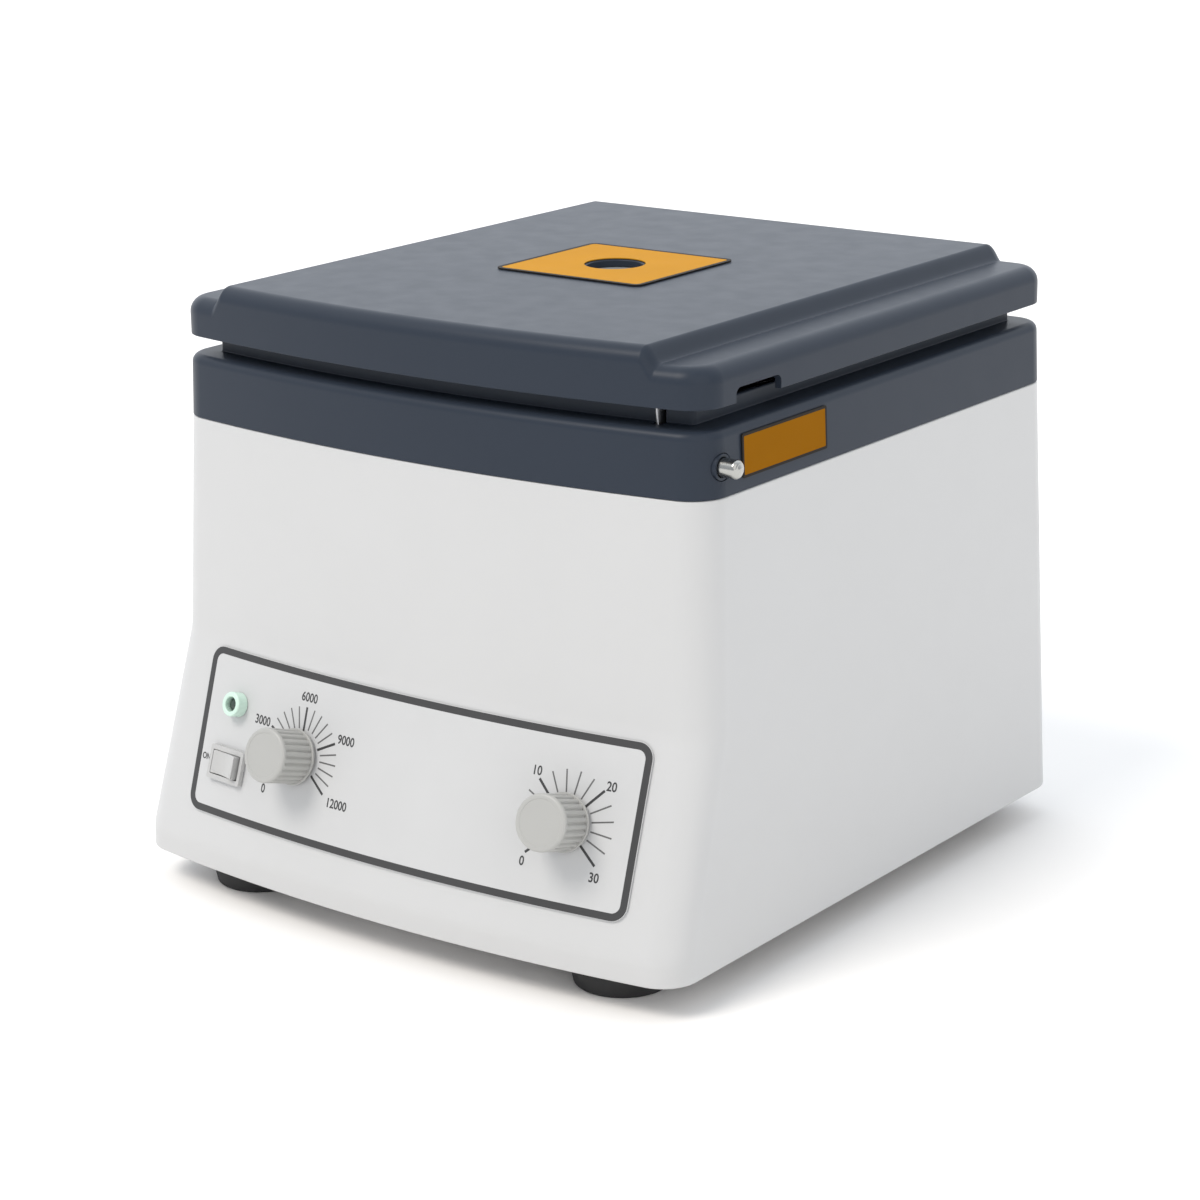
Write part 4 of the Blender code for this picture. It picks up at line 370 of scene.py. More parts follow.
# Hinges and mains inlet
HINGE_X = 0.085
HINGE_HALF_WIDTH = 0.015
HINGE_SHEET = 0.0015
HINGE_KNUCKLE_RADIUS = 0.004
HINGE_BODY_LEAF_LOW = 0.020
HINGE_Y = SEAM_REAR - BAND_DRAFT + GAP + HINGE_KNUCKLE_RADIUS
HINGE_BODY_SCREW_DROP = 0.0135
HINGE_LID_SCREW_RISE = 0.0105
HINGE_SCREW_SPREAD = 0.0095
HINGE_SCREW_RADIUS = 0.0028
HINGE_SCREW_FLAT = 0.0018
HINGE_SCREW_HEIGHT = 0.0012
INLET_X = -0.085
INLET_HEIGHT = 0.048
INLET_FLANGE_THICKNESS = 0.0025
INLET_BODY_WIDTH = 0.027
INLET_BODY_HEIGHT = 0.036
SOCKET_DEPTH = 0.0168
SOCKET_RISE = 0.007
PRONG_WIDTH = 0.002
PRONG_HEIGHT = 0.0045
PRONG_LENGTH = 0.011
PRONG_SPREAD = 0.007
PRONG_LIFT = 0.002

# Edges rounded on the model's own pieces, by piece
SOFTENED = {
    "base_plate": 0.0004,
    "motor_plate": 0.0004,
    "motor_body": 0.0008,
    "circuit_board": 0.0003,
    "latch_striker": 0.0002,
    "latch_hook": 0.0003,
    "latch_bracket": 0.0002,
    "hinge_body_leaf_left": 0.0003,
    "hinge_body_leaf_right": 0.0003,
    "hinge_lid_leaf_left": 0.0003,
    "hinge_lid_leaf_right": 0.0003,
    "power_inlet": 0.0005,
    "fuse_drawer": 0.0004,
}

# Looks. A spread is how far noise shifts a colour or a roughness, and gloss is the specular level
CLOUD_SPREAD = 0.02
CLOUD_SIZE = 0.045
CLOUD_DETAIL = 2
SMEAR_SIZE = 0.012
SMEAR_DETAIL = 4
SCUFF_DETAIL = 6
ROUGH_SPREAD = 0.02
METAL_SPREAD = 0.04
SHEET_SPREAD = 0.05
METAL_DETAIL = 3
TURNING_SIZE = 0.0006
TURNING_DEPTH = 0.000004
BRUSH_SIZE = 0.0004
BRUSH_DEPTH = 0.000003
TRACK_SIZE = 0.008
TRACK_WIDTH_SHARE = 0.05
BOARD_SPREAD = 0.1
BOARD_ROUGHNESS = 0.4
BOARD_ROUGH_SPREAD = 0.1
NOISE_MIDDLE = (0.3, 0.7)
CLEAR_IOR = 1.49
DARK = (0.026, 0.034, 0.049)
GLOSS = 0.5
LOOK_COLUMNS = "colour roughness grain depth spread gloss"
Look = collections.namedtuple("Look", LOOK_COLUMNS, defaults=(CLOUD_SPREAD, GLOSS))
# Each material has its look, the record's slot and its pieces
MOULDED = {
    "White housing": (
        Look((0.545, 0.547, 0.548), 0.42, 0.0011, 0.000004, 0.006),
        "white_plastic",
        "housing_moulding",
    ),
    "Liner": (Look(DARK, 0.5, 0.0009, 0.000006), "dark_plastic", "liner"),
    "Dark top": (
        Look(DARK, 0.36, 0.0007, 0.000004, 0.01, 0.17),
        "dark_plastic",
        "top_cover_moulding lid_moulding bush_ring",
    ),
    "Dark lacquer": (Look(DARK, 0.35, 0.0005, 0.000004, 0.05), "dark_plastic", "hinge_*_leaf_*"),
    "Lid label": (
        Look((0.53, 0.25, 0.020), 0.6, 0.0006, 0.000002, 0.03, 0.03),
        "amber_label",
        "lid_plate_plate",
    ),
    "Side label": (
        Look((0.27, 0.105, 0.001), 0.6, 0.0006, 0.000002, 0.04, 0.03),
        "amber_label",
        "side_plate_plate",
    ),
    "Panel film": (Look((0.538, 0.541, 0.543), 0.38, 0.0008, 0.000003, 0.015), "panel_film", "panel_plate"),
    "Dark ink": (
        Look((0.04, 0.04, 0.041), 0.45, 0.0004, 0.000001, 0.06),
        "panel_film",
        "panel_border speed_scale timer_scale switch_mark",
    ),
    "Fine ink": (Look((0.12, 0.12, 0.12), 0.45, 0.0004, 0.000001, 0.06), "panel_film", "*_scale_fine"),
    "Label edge": (
        Look((0.030, 0.026, 0.022), 0.5, 0.0004, 0.000001, 0.08, 0.04),
        "amber_label",
        "*_plate_edge",
    ),
    "Knobs": (Look((0.40, 0.40, 0.385), 0.36, 0.0006, 0.000003, 0.03), "knob_plastic", "*_control"),
    "Switch": (Look((0.46, 0.46, 0.455), 0.34, 0.0006, 0.000003), "knob_plastic", "switch_frame rocker_key"),
    "Indicator": (
        Look((0.58, 0.76, 0.66), 0.28, 0.0006, 0.000002, 0.03),
        "indicator_plastic",
        "indicator_ring",
    ),
    "Indicator eye": (
        Look((0.04, 0.06, 0.05), 0.18, 0.0005, 0.000002, 0.1),
        "black_plastic",
        "indicator_eye",
    ),
    "Black plastic": (
        Look((0.022, 0.022, 0.024), 0.42, 0.0006, 0.000008, 0.1),
        "black_plastic",
        "grip_nut power_inlet fuse_drawer timer_unit",
    ),
    "Rubber": (
        Look((0.030, 0.030, 0.031), 0.72, 0.0009, 0.00002, 0.15, 0.35),
        "black_rubber",
        "gasket rotor_gasket mains_lead motor_lead rubber_* motor_damper_?",
    ),
}
STEEL = (0.55, 0.55, 0.56)
# Colour and roughness, then for clear ones the share of light let through, and for brushed ones the stretch
WINDOW = ((0.40, 0.43, 0.44), 0.12, 0.25)
GLASS = ((0.90, 0.93, 0.93), 0.03, 0.9)
TURNED = ((0.78, 0.78, 0.79), 0.30)
MOTOR_STEEL = (STEEL, 0.38)
BRIGHT = ((0.46, 0.46, 0.44), 0.20, (0.1, 1, 1))
ZINC = (STEEL, 0.34, (1, 0.15, 1))
BOARD = (0.02, 0.16, 0.07)
TRACK = (0.056, 0.308, 0.146)

# Stage and view
FLOOR = Look((0.945, 0.93, 0.91), 0.8, 0.02, 0.0, 0.003, 0.2)
FLOOR_RADIUS = 14
FLOOR_THICKNESS = 0.02
SKY = (0.93, 0.975, 1.035)
SKY_BACK = (-0.55, 0.75, 0.40)
SKY_FADE = (-0.3, 0.9)
SKY_STRENGTH = (0.60, 1.35)
SUNLIGHT = (1.0, 0.95, 0.89)
SUNS = [
    ("Key", (-0.22, -0.55, 0.80), 1.65, 26),
    ("Fill", (0.80, -0.40, 0.50), 0.60, 60),
]
SENSOR = 36.0
LENS = 94.86
CAMERA_PLACE = (0.8194, -1.081185, 0.5203)
CAMERA_TARGET = (-0.0458, 0.063235, 0.0937)
CAMERA_ROLL_DEG = -0.79

Plan = collections.namedtuple("Plan", "half front rear bow front_radius rear_radius")


# Shapes
def new_object(name, data):
    obj = bpy.data.objects.new(name, data)
    bpy.context.scene.collection.objects.link(obj)
    return obj


def from_bmesh(name, shape):
    bmesh.ops.recalc_face_normals(shape, faces=shape.faces)
    mesh = bpy.data.meshes.new(name)
    shape.to_mesh(mesh)
    shape.free()
    return new_object(name, mesh)


def smooth(obj):
    obj.data.shade_smooth()
    obj.data.set_sharp_from_angle(angle=math.radians(SMOOTH_DEG))
    return obj


def moved(obj, matrix):
    obj.data.transform(matrix)
    return obj


def box(name, low, high):
    low, high = Vector(low), Vector(high)
    shape = bmesh.new()
    size = Matrix.Diagonal((*(high - low), 1))
    bmesh.ops.create_cube(shape, size=1, matrix=Matrix.Translation((low + high) / 2) @ size)
    return from_bmesh(name, shape)


def block(name, width, length, low, high, centre=(0, 0)):
    """A box round a centre in X and Y, from one height to another."""
    x, y = centre
    return box(name, (x - width / 2, y - length / 2, low), (x + width / 2, y + length / 2, high))


def rod(name, radius, start, end, steps=SMALL_STEPS, end_radius=None):
    """A cylinder between two points, or a cone where the end has its own radius."""
    start, end = Vector(start), Vector(end)
    along = end - start
    turn = along.to_track_quat("Z", "Y").to_matrix().to_4x4()
    shape = bmesh.new()
    bmesh.ops.create_cone(
        shape,
        cap_ends=True,
        segments=steps,
        radius1=radius,
        radius2=radius if end_radius is None else end_radius,
        depth=along.length,
        matrix=Matrix.Translation((start + end) / 2) @ turn,
    )
    return smooth(from_bmesh(name, shape))


def ring_surface(name, rings, filled=False, closed=False):
    """A surface through rings of matching points, with filled ends, or closed from the last to the first."""
    shape = bmesh.new()
    rows = [[shape.verts.new(point) for point in ring] for ring in rings]
    for lower, upper in zip(rows, rows[1:] + rows[:1] if closed else rows[1:]):
        for number, vertex in enumerate(lower):
            after = (number + 1) % len(lower)
            shape.faces.new((vertex, lower[after], upper[after], upper[number]))
    if filled:
        shape.faces.new(list(reversed(rows[0])))
        shape.faces.new(rows[-1])
    return from_bmesh(name, shape)


def circle(radius, centre=(0, 0), steps=SMALL_STEPS):
    turns = [2 * math.pi * step / steps for step in range(steps)]
    return [(centre[0] + radius * math.cos(turn), centre[1] + radius * math.sin(turn)) for turn in turns]


def arc(steps, start=0):
    """The cosine and sine of even steps from a start angle to a quarter turn."""
    angles = [start + (QUARTER - start) * step / steps for step in range(steps + 1)]
    return [(math.cos(angle), math.sin(angle)) for angle in angles]


def rounded(corners, steps=LIP_STEPS):
    """A profile with an arc in place of each corner that has a radius as its third value."""
    points = []
    for number, (across, up, *radius) in enumerate(corners):
        if not radius:
            points.append((across, up))
            continue
        corner = Vector((across, up))
        into = corner - Vector(corners[number - 1][:2])
        out = Vector(corners[(number + 1) % len(corners)][:2]) - corner
        turn = into.angle(out)
        into, out = into.normalized(), out.normalized()
        centre = corner + (out - into).normalized() * radius[0] / math.cos(turn / 2)
        first = corner - into * (radius[0] * math.tan(turn / 2)) - centre
        side = math.copysign(1, into.x * out.y - into.y * out.x)
        for step in range(steps + 1):
            points.append(tuple(centre + Matrix.Rotation(side * turn * step / steps, 2) @ first))
    return points


def turned(name, corners, steps=ROUND_STEPS, closed=False, arc_steps=LIP_STEPS):
    """A profile of (radius, height) corners, rounded and turned about Z. An open one gets filled ends."""
    profile = rounded(corners, arc_steps)
    rings = [[(x, y, height) for x, y in circle(radius, steps=steps)] for radius, height in profile]
    return ring_surface(name, rings, not closed, closed)


def rounded_rectangle(width, height, radius, centre=(0, 0), straight_parts=1):
    """Points of a rounded rectangle, anticlockwise, with its sides split into parts."""
    points = []
    for turn, (side, level) in enumerate([(1, 1), (-1, 1), (-1, -1), (1, -1)]):
        for step in range(CORNER_STEPS + 1):
            angle = QUARTER * (turn + step / CORNER_STEPS)
            across = side * (width / 2 - radius) + radius * math.cos(angle)
            up = level * (height / 2 - radius) + radius * math.sin(angle)
            points.append(Vector((centre[0] + across, centre[1] + up)))
    split = []
    for number, point in enumerate(points, 1):
        split.append(tuple(point))
        if number % (CORNER_STEPS + 1) == 0:
            after = points[number % len(points)]
            split += [tuple(point.lerp(after, part / straight_parts)) for part in range(1, straight_parts)]
    return split


def plate(name, outline_points, low, high, holes=()):
    """A flat outline in X and Y, with holes, extruded from one height to another and made a mesh."""
    curve = bpy.data.curves.new(name, "CURVE")
    curve.dimensions = "2D"
    curve.fill_mode = "BOTH"
    curve.extrude = (high - low) / 2
    for points in (outline_points, *holes):
        spline = curve.splines.new("POLY")
        spline.points.add(len(points) - 1)
        for point, (across, up) in zip(spline.points, points):
            point.co = (across, up, 0, 1)
        spline.use_cyclic_u = True
    return smooth(moved(mesh_of(new_object(name, curve)), Matrix.Translation((0, 0, (low + high) / 2))))


def evaluated_mesh(obj):
    bpy.context.view_layer.update()
    return bpy.data.meshes.new_from_object(obj.evaluated_get(bpy.context.evaluated_depsgraph_get()))


def mesh_of(guide):
    """A mesh object in place of a curve or a text, with its loose caps welded."""
    mesh = evaluated_mesh(guide)
    name = guide.name
    bpy.data.objects.remove(guide)
    shape = bmesh.new()
    shape.from_mesh(mesh)
    bmesh.ops.remove_doubles(shape, verts=shape.verts, dist=WELD)
    bpy.data.meshes.remove(mesh)
    return from_bmesh(name, shape)


def together(name, tools):
    """Joins separate meshes into one, so that a single Boolean uses them all."""
    shape = bmesh.new()
    for tool in tools:
        shape.from_mesh(tool.data)
        bpy.data.objects.remove(tool)
    mesh = bpy.data.meshes.new(name)
    shape.to_mesh(mesh)
    shape.free()
    return new_object(name, mesh)


def cut(obj, *tools, operation="DIFFERENCE"):
    for tool in tools:
        modifier = obj.modifiers.new(tool.name, "BOOLEAN")
        modifier.operation = operation
        modifier.solver = "EXACT"
        modifier.object = tool
    return obj


def join(obj, tool):
    return cut(obj, tool, operation="UNION")


def bevelled(obj, width, steps=BEVEL_STEPS, degrees=SMOOTH_DEG):
    bevel = obj.modifiers.new("Edges", "BEVEL")
    bevel.width = width
    bevel.segments = steps
    bevel.limit_method = "ANGLE"
    bevel.angle_limit = math.radians(degrees)
    return obj


def apply_modifiers(obj):
    mesh = evaluated_mesh(obj)
    obj.modifiers.clear()
    obj.data = mesh
    return obj


def settled(obj):
    """Applies the modifiers, removes their tools and keeps the flat faces flat beside the rounded edges."""
    tools = {modifier.object for modifier in obj.modifiers if modifier.type == "BOOLEAN"}
    apply_modifiers(obj)
    for tool in tools:
        bpy.data.objects.remove(tool)
    smooth(obj).modifiers.new("Weighting", "WEIGHTED_NORMAL").keep_sharp = True
    return apply_modifiers(obj)


def place(obj, body, *nodes):
    """Shifts a finished piece from the casing's frame into the model's, ties it to its body and hides the
    nodes it stands in for.
    """
    moved(obj, Matrix.Translation((0, SHIFT_Y, 0)))
    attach(obj, body)
    if nodes:
        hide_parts(*nodes)
    return obj


def finish(obj, spot, body, *nodes):
    """Settles a piece drawn about the origin, moves it to its spot in the casing's frame and places it."""
    return place(moved(settled(obj), spot), body, *nodes)


# Plans: the outline of the casing at a height
FRONT_CORNERS = [
    (-TOE_REACH, FOOT_HEIGHT),
    (-TOE_REACH, TOE_HEIGHT, TOE_RADIUS),
    (-STEP_REACH, STEP_HEIGHT, STEP_RADIUS),
    (0, SEAM_HEIGHT),
]
FRONT_PATH = rounded(FRONT_CORNERS, BEND_STEPS)


def housing_plan(height):
    share = (height - FOOT_HEIGHT) / (SEAM_HEIGHT - FOOT_HEIGHT)
    places, heights = zip(*FRONT_PATH)
    front = float(numpy.interp(height, heights, places))
    half = BASE_HALF_WIDTH + share * (SEAM_HALF_WIDTH - BASE_HALF_WIDTH)
    rear = BASE_REAR + share * (SEAM_REAR - BASE_REAR)
    return Plan(half, front, rear, FRONT_BOW, FRONT_RADIUS, REAR_RADIUS)


def inset(plan, depth):
    half, front, rear, bow, *radii = plan
    radii = [max(radius - depth, LEAST_CORNER) for radius in radii]
    return Plan(half - depth, front + depth, rear - depth, bow, *radii)


def cover_plan(height):
    return inset(housing_plan(SEAM_HEIGHT), BAND_DRAFT * (height - SEAM_HEIGHT) / BAND_HEIGHT)


def bow_of(plan):
    """The bowed front between its corner arcs: half width, end, depth and the arcs' first angle."""
    flat = plan.half - plan.front_radius
    lean = math.atan(2 * plan.bow / flat)
    end = flat + plan.front_radius * math.sin(lean)
    start = plan.front + plan.front_radius * (1 - math.cos(lean))
    return end, start, end * math.tan(lean) / 2, lean


def front_y(x, plan):
    end, start, depth, _ = bow_of(plan)
    return start - depth * (1 - (x / end) ** 2)


def evenly(end, count):
    return [end * (2 * step / count - 1) for step in range(1, count)]


def outline(plan, front_places=None, rear_places=()):
    """The plan's points from the left end of the bowed front, anticlockwise seen from above."""
    end, _, _, lean = bow_of(plan)
    if front_places is None:
        front_places = evenly(end, FRONT_PARTS)
    front = Vector((plan.half - plan.front_radius, plan.front + plan.front_radius))
    rear = Vector((plan.half - plan.rear_radius, plan.rear - plan.rear_radius))
    right = [front + plan.front_radius * Vector((up, -across)) for across, up in arc(CORNER_STEPS, lean)[1:]]
    right += [rear + plan.rear_radius * Vector(point) for point in arc(CORNER_STEPS)]
    points = [(x, front_y(x, plan)) for x in (-end, *front_places, end)]
    points += [tuple(point) for point in right]
    points += [(x, plan.rear) for x in reversed(rear_places)]
    return points + [(-x, y) for x, y in reversed(right)]


def levels_of(pairs):
    return [[(x, y, height) for x, y in outline(plan)] for plan, height in pairs]


def edge(plan, height, radius, start_deg, end_deg, steps=LIP_STEPS, side=1):
    """(plan, height) pairs round an edge: upright at 0 degrees, flat at 90. Side -1 turns outwards."""
    pairs = []
    for step in range(steps + 1):
        angle = math.radians(start_deg + (end_deg - start_deg) * step / steps)
        pairs.append((inset(plan, side * radius * (1 - math.cos(angle))), height + radius * math.sin(angle)))
    return pairs


# Frames on the casing's faces, from a point of the surface: X to the viewer's right, Y up and Z outwards
def frame_from(origin, right, normal):
    normal = Vector(normal).normalized()
    up = normal.cross(Vector(right)).normalized()
    return Matrix.Translation(origin) @ Matrix((up.cross(normal), up, normal)).transposed().to_4x4()


def panel_frame(x, height):
    plan = housing_plan(height)
    across = (front_y(x + PROBE, plan) - front_y(x - PROBE, plan)) / (2 * PROBE)
    rise = (front_y(x, housing_plan(height + PROBE)) - front_y(x, housing_plan(height - PROBE))) / (2 * PROBE)
    return frame_from((x, front_y(x, plan), height), (1, across, 0), (across, -1, rise))


def rear_frame(x, height):
    lean = (BASE_REAR - SEAM_REAR) / (SEAM_HEIGHT - FOOT_HEIGHT)
    return frame_from((x, housing_plan(height).rear, height), (-1, 0, 0), (0, 1, lean))


def side_frame(y, height):
    return frame_from((cover_plan(height).half, y, height), (0, 1, 0), (1, 0, BAND_DRAFT / BAND_HEIGHT))


# Where the rotor and the fittings sit
AXIS = Matrix.Translation((0, AXIS_Y, 0))
SPEED_FRAME = panel_frame(SPEED_X, KNOB_LINE)
TIMER_FRAME = panel_frame(TIMER_X, KNOB_LINE)
SWITCH_FRAME = panel_frame(SWITCH_X, SWITCH_HEIGHT)
INDICATOR_FRAME = panel_frame(INDICATOR_X, INDICATOR_HEIGHT)
INLET_FRAME = rear_frame(INLET_X, INLET_HEIGHT)


# Housing
def four_places(side, front, rear):
    """Places on both sides, inset from the housing's front and rear: left before right, front before rear."""
    return [(x, y) for y in (front - TOE_REACH, BASE_REAR - rear) for x in (-side, side)]


def boss_places():
    side = BASE_HALF_WIDTH - WALL - BOSS_RADIUS + BOSS_BITE
    return four_places(side, BOSS_FRONT_INSET, BOSS_REAR_INSET)


def uprights(name, radius, low, high):
    """A rod at each boss, as one tool."""
    rods = [rod(f"{name}_{x}_{y}", radius, (x, y, low), (x, y, high)) for x, y in boss_places()]
    return together(name, rods)


def panel_cutter(owner):
    """The holes for the controls, through the wall and the panel, as one tool."""
    low = -WALL - OVERRUN
    tools = []
    for radius, spot in (
        (CONTROL_BUSH_RADIUS, SPEED_FRAME),
        (CONTROL_BUSH_RADIUS, TIMER_FRAME),
        (INDICATOR_BARREL, INDICATOR_FRAME),
    ):
        tools.append(moved(rod(owner + "_hole", radius + GAP, (0, 0, low), (0, 0, OVERRUN)), spot))
    width, height = SWITCH_BODY_WIDTH + 2 * GAP, SWITCH_BODY_HEIGHT + 2 * GAP
    tools.append(moved(block(owner + "_hole", width, height, low, OVERRUN), SWITCH_FRAME))
    return together(owner + "_holes", tools)


def rear_cutter():
    """The inlet's hole and the slotted vents, as one tool."""
    depth = WALL + OVERRUN
    hole = block("inlet_hole", INLET_BODY_WIDTH + 2 * GAP, INLET_BODY_HEIGHT + 2 * GAP, -depth, OVERRUN)
    tools = [moved(hole, INLET_FRAME)]
    shape = rounded_rectangle(VENT_WIDTH, VENT_LENGTH, VENT_WIDTH / 2 - VENT_FLAT)
    for number in range(VENT_COUNT):
        shift = Matrix.Translation((VENT_PITCH * (number - (VENT_COUNT - 1) / 2), 0, 0))
        tools.append(moved(plate("vent", shape, -depth, OVERRUN), rear_frame(0, VENT_HEIGHT) @ shift))
    return together("rear_holes", tools)


def housing():
    top_plan = housing_plan(SEAM_HEIGHT)
    bottom_plan = housing_plan(FOOT_HEIGHT)
    outer = [(housing_plan(height), height) for _, height in FRONT_PATH[1:-1]]
    inner = [(inset(plan, WALL), height) for plan, height in reversed(outer)]
    levels = [
        *edge(bottom_plan, FOOT_HEIGHT + HOUSING_LIP, HOUSING_LIP, -90, 0),
        *outer,
        *edge(top_plan, SEAM_HEIGHT - HOUSING_LIP, HOUSING_LIP, 0, 90),
        (inset(top_plan, WALL), SEAM_HEIGHT),
        *inner,
        (inset(bottom_plan, WALL), FOOT_HEIGHT),
    ]
    obj = ring_surface("housing_moulding", levels_of(levels), closed=True)
    high = BOSS_LOW + BOSS_LENGTH
    join(obj, uprights("bosses", BOSS_RADIUS, BOSS_LOW, high))
    bores = uprights("bores", BOSS_BORE, BOSS_LOW - OVERRUN, high + OVERRUN)
    cut(obj, bores, panel_cutter("housing"), rear_cutter())
    place(settled(obj), "base", "housing")


# Top cover
def top_cover():
    bottom = cover_plan(COVER_BOTTOM)
    side = cover_plan(DECK_TOP - DECK_EDGE)
    deck = cover_plan(DECK_TOP)
    rim_outer, rim_inner = inset(deck, RIM_INSET), inset(deck, RIM_INSET + RIM_WALL)
    rim_top = DECK_TOP + RIM_HEIGHT
    levels = [
        (inset(deck, WALL), DECK_TOP - WALL),
        (inset(bottom, WALL), COVER_BOTTOM),
        *edge(bottom, COVER_BOTTOM + COVER_LIP, COVER_LIP, -90, 0),
        *edge(side, DECK_TOP - DECK_EDGE, DECK_EDGE, 0, 90, BEND_STEPS),
        (inset(rim_outer, -RIM_FILLET), DECK_TOP),
        (inset(rim_outer, -RIM_FILLET * FILLET_SHARE), DECK_TOP + RIM_FILLET * FILLET_SHARE),
        (rim_outer, DECK_TOP + RIM_FILLET),
        *edge(rim_outer, rim_top - RIM_EDGE, RIM_EDGE, 0, 90),
        *edge(rim_inner, rim_top - RIM_EDGE, RIM_EDGE, 90, 0, side=-1),
        (rim_inner, DECK_TOP),
    ]
    obj = ring_surface("top_cover_moulding", levels_of(levels), filled=True)
    low, high = DECK_TOP - WALL - OVERRUN, DECK_TOP + OVERRUN
    width, length = STRIKER_SHEET + 2 * STRIKER_PLAY, 2 * (STRIKER_HALF_WIDTH + STRIKER_PLAY)
    out = SEAM_HALF_WIDTH + OVERRUN
    ends = [(out - 2 * OVERRUN - WALL, LATCH_Y, PIN_HEIGHT), (out, LATCH_Y, PIN_HEIGHT)]
    tools = [
        rod("chamber_opening", BOWL_RADIUS + BOWL_PLAY, (0, AXIS_Y, low), (0, AXIS_Y, high), ROUND_STEPS),
        block("striker_slot", width, length, low, high + RIM_HEIGHT, (STRIKER_X, LATCH_Y)),
        rod("bush_hole", PIN_RADIUS + GAP + BUSH_WALL + GAP, *ends),
    ]
    pad = SEAM_REAR - BAND_DRAFT
    reach = HINGE_HALF_WIDTH + GAP
    for x in (-HINGE_X, HINGE_X):
        near = (x - reach, pad, DECK_TOP - HINGE_BODY_LEAF_LOW - GAP)
        tools.append(box("hinge_pad", near, (x + reach, pad + OVERRUN, high)))
    cut(obj, together("cover_holes", tools))
    place(settled(obj), "base", "top_cover")


# Lid
def lid_height(x):
    """The height of the lid's top across the raised field, its rounded side slopes and the shoulders."""
    share = min(max((abs(x) - FIELD_HALF_WIDTH) / FIELD_SLOPE, 0), 1)
    return SHOULDER_TOP + FIELD_RISE * (1 + math.cos(math.pi * share)) / 2


def lid_places():
    slopes = [FIELD_HALF_WIDTH + FIELD_SLOPE * step / SLOPE_STEPS for step in range(SLOPE_STEPS + 1)]
    return [-x for x in reversed(slopes)] + evenly(FIELD_HALF_WIDTH, FIELD_STEPS) + slopes


def lid_rings(plan, drop, radius, steps):
    """Rings round the lid's upper edge, from the skirt to the top. The inside is lower by the drop."""
    places = lid_places()
    rings = []
    for each, below in edge(plan, -drop - radius, radius, 0, 90, steps):
        rings.append([(x, y, lid_height(x) + below) for x, y in outline(each, places, places)])
    return rings


def lid_shell():
    plan = cover_plan(DECK_TOP)
    places = lid_places()
    rings = lid_rings(inset(plan, WALL), WALL, LID_EDGE - WALL, LIP_STEPS)[::-1]
    foot = [(inset(plan, WALL), LID_BOTTOM), *edge(plan, LID_BOTTOM + LID_LIP, LID_LIP, -90, 0)]
    rings += [[(x, y, height) for x, y in outline(each, places, places)] for each, height in foot]
    rings += lid_rings(plan, 0, LID_EDGE, BEND_STEPS)
    obj = ring_surface("lid_moulding", rings)
    fill_across(obj, (0, len(rings) - 1), len(rings[0]), len(places))
    ends = [(0, AXIS_Y, LID_BOTTOM), (0, AXIS_Y, FIELD_TOP + OVERRUN)]
    sight = rod("sight_hole", SIGHT_RADIUS, *ends, ROUND_STEPS)
    ends = [(0, AXIS_Y, FIELD_TOP - SIGHT_CHAMFER), (0, AXIS_Y, FIELD_TOP + SIGHT_CHAMFER)]
    chamfer = rod("sight_chamfer", SIGHT_RADIUS, *ends, ROUND_STEPS, SIGHT_RADIUS + 2 * SIGHT_CHAMFER)
    near = (SEAM_HALF_WIDTH - WALL - 3 * OVERRUN, NOTCH_NEAR, LID_BOTTOM - 2 * OVERRUN)
    far = (SEAM_HALF_WIDTH + 2 * OVERRUN, NOTCH_FAR, LID_BOTTOM + NOTCH_HEIGHT)
    cut(obj, sight, chamfer, bevelled(box("skirt_notch", near, far), NOTCH_RADIUS, CORNER_STEPS))
    place(settled(obj), "lid", "lid_shell")


def fill_across(obj, rows, size, count):
    """Fills rings with strips from front to back, and one face at each end."""
    shape = bmesh.new()
    shape.from_mesh(obj.data)
    shape.verts.ensure_lookup_table()
    first = count + 2 + CORNER_STEPS + CORNER_STEPS + 1
    for row in rows:
        ring = shape.verts[row * size : (row + 1) * size]
        front = ring[1 : count + 1]
        rear = ring[first : first + count][::-1]
        for number in range(count - 1):
            shape.faces.new((front[number], front[number + 1], rear[number + 1], rear[number]))
        shape.faces.new(ring[count : first + 1])
        shape.faces.new(ring[first + count - 1 :] + ring[:2])
    bmesh.ops.recalc_face_normals(shape, faces=shape.faces)
    shape.to_mesh(obj.data)
    shape.free()


# Control panel and its print
SLOPE_SHARE = math.cos(math.atan2(TOE_REACH - STEP_REACH, STEP_HEIGHT - TOE_HEIGHT))


def on_panel(obj):
    """Maps a flat shape, drawn as (x, length up the slope, height above the face), onto the bowed panel."""
    for vertex in obj.data.vertices:
        across, up, lift = vertex.co
        vertex.co = panel_frame(across, PANEL_HEIGHT + up * SLOPE_SHARE) @ Vector((0, 0, lift))
    return obj


def panel_spot(x, height):
    """A place on the panel given as x and a height over the bench, as (x, length up the slope)."""
    return x, (height - PANEL_HEIGHT) / SLOPE_SHARE


def panel_outline(margin):
    width, length = 2 * (PANEL_HALF_WIDTH - margin), PANEL_LENGTH - 2 * margin
    return rounded_rectangle(width, length, PANEL_CORNER - margin, (PANEL_SHIFT, 0), FRONT_PARTS)


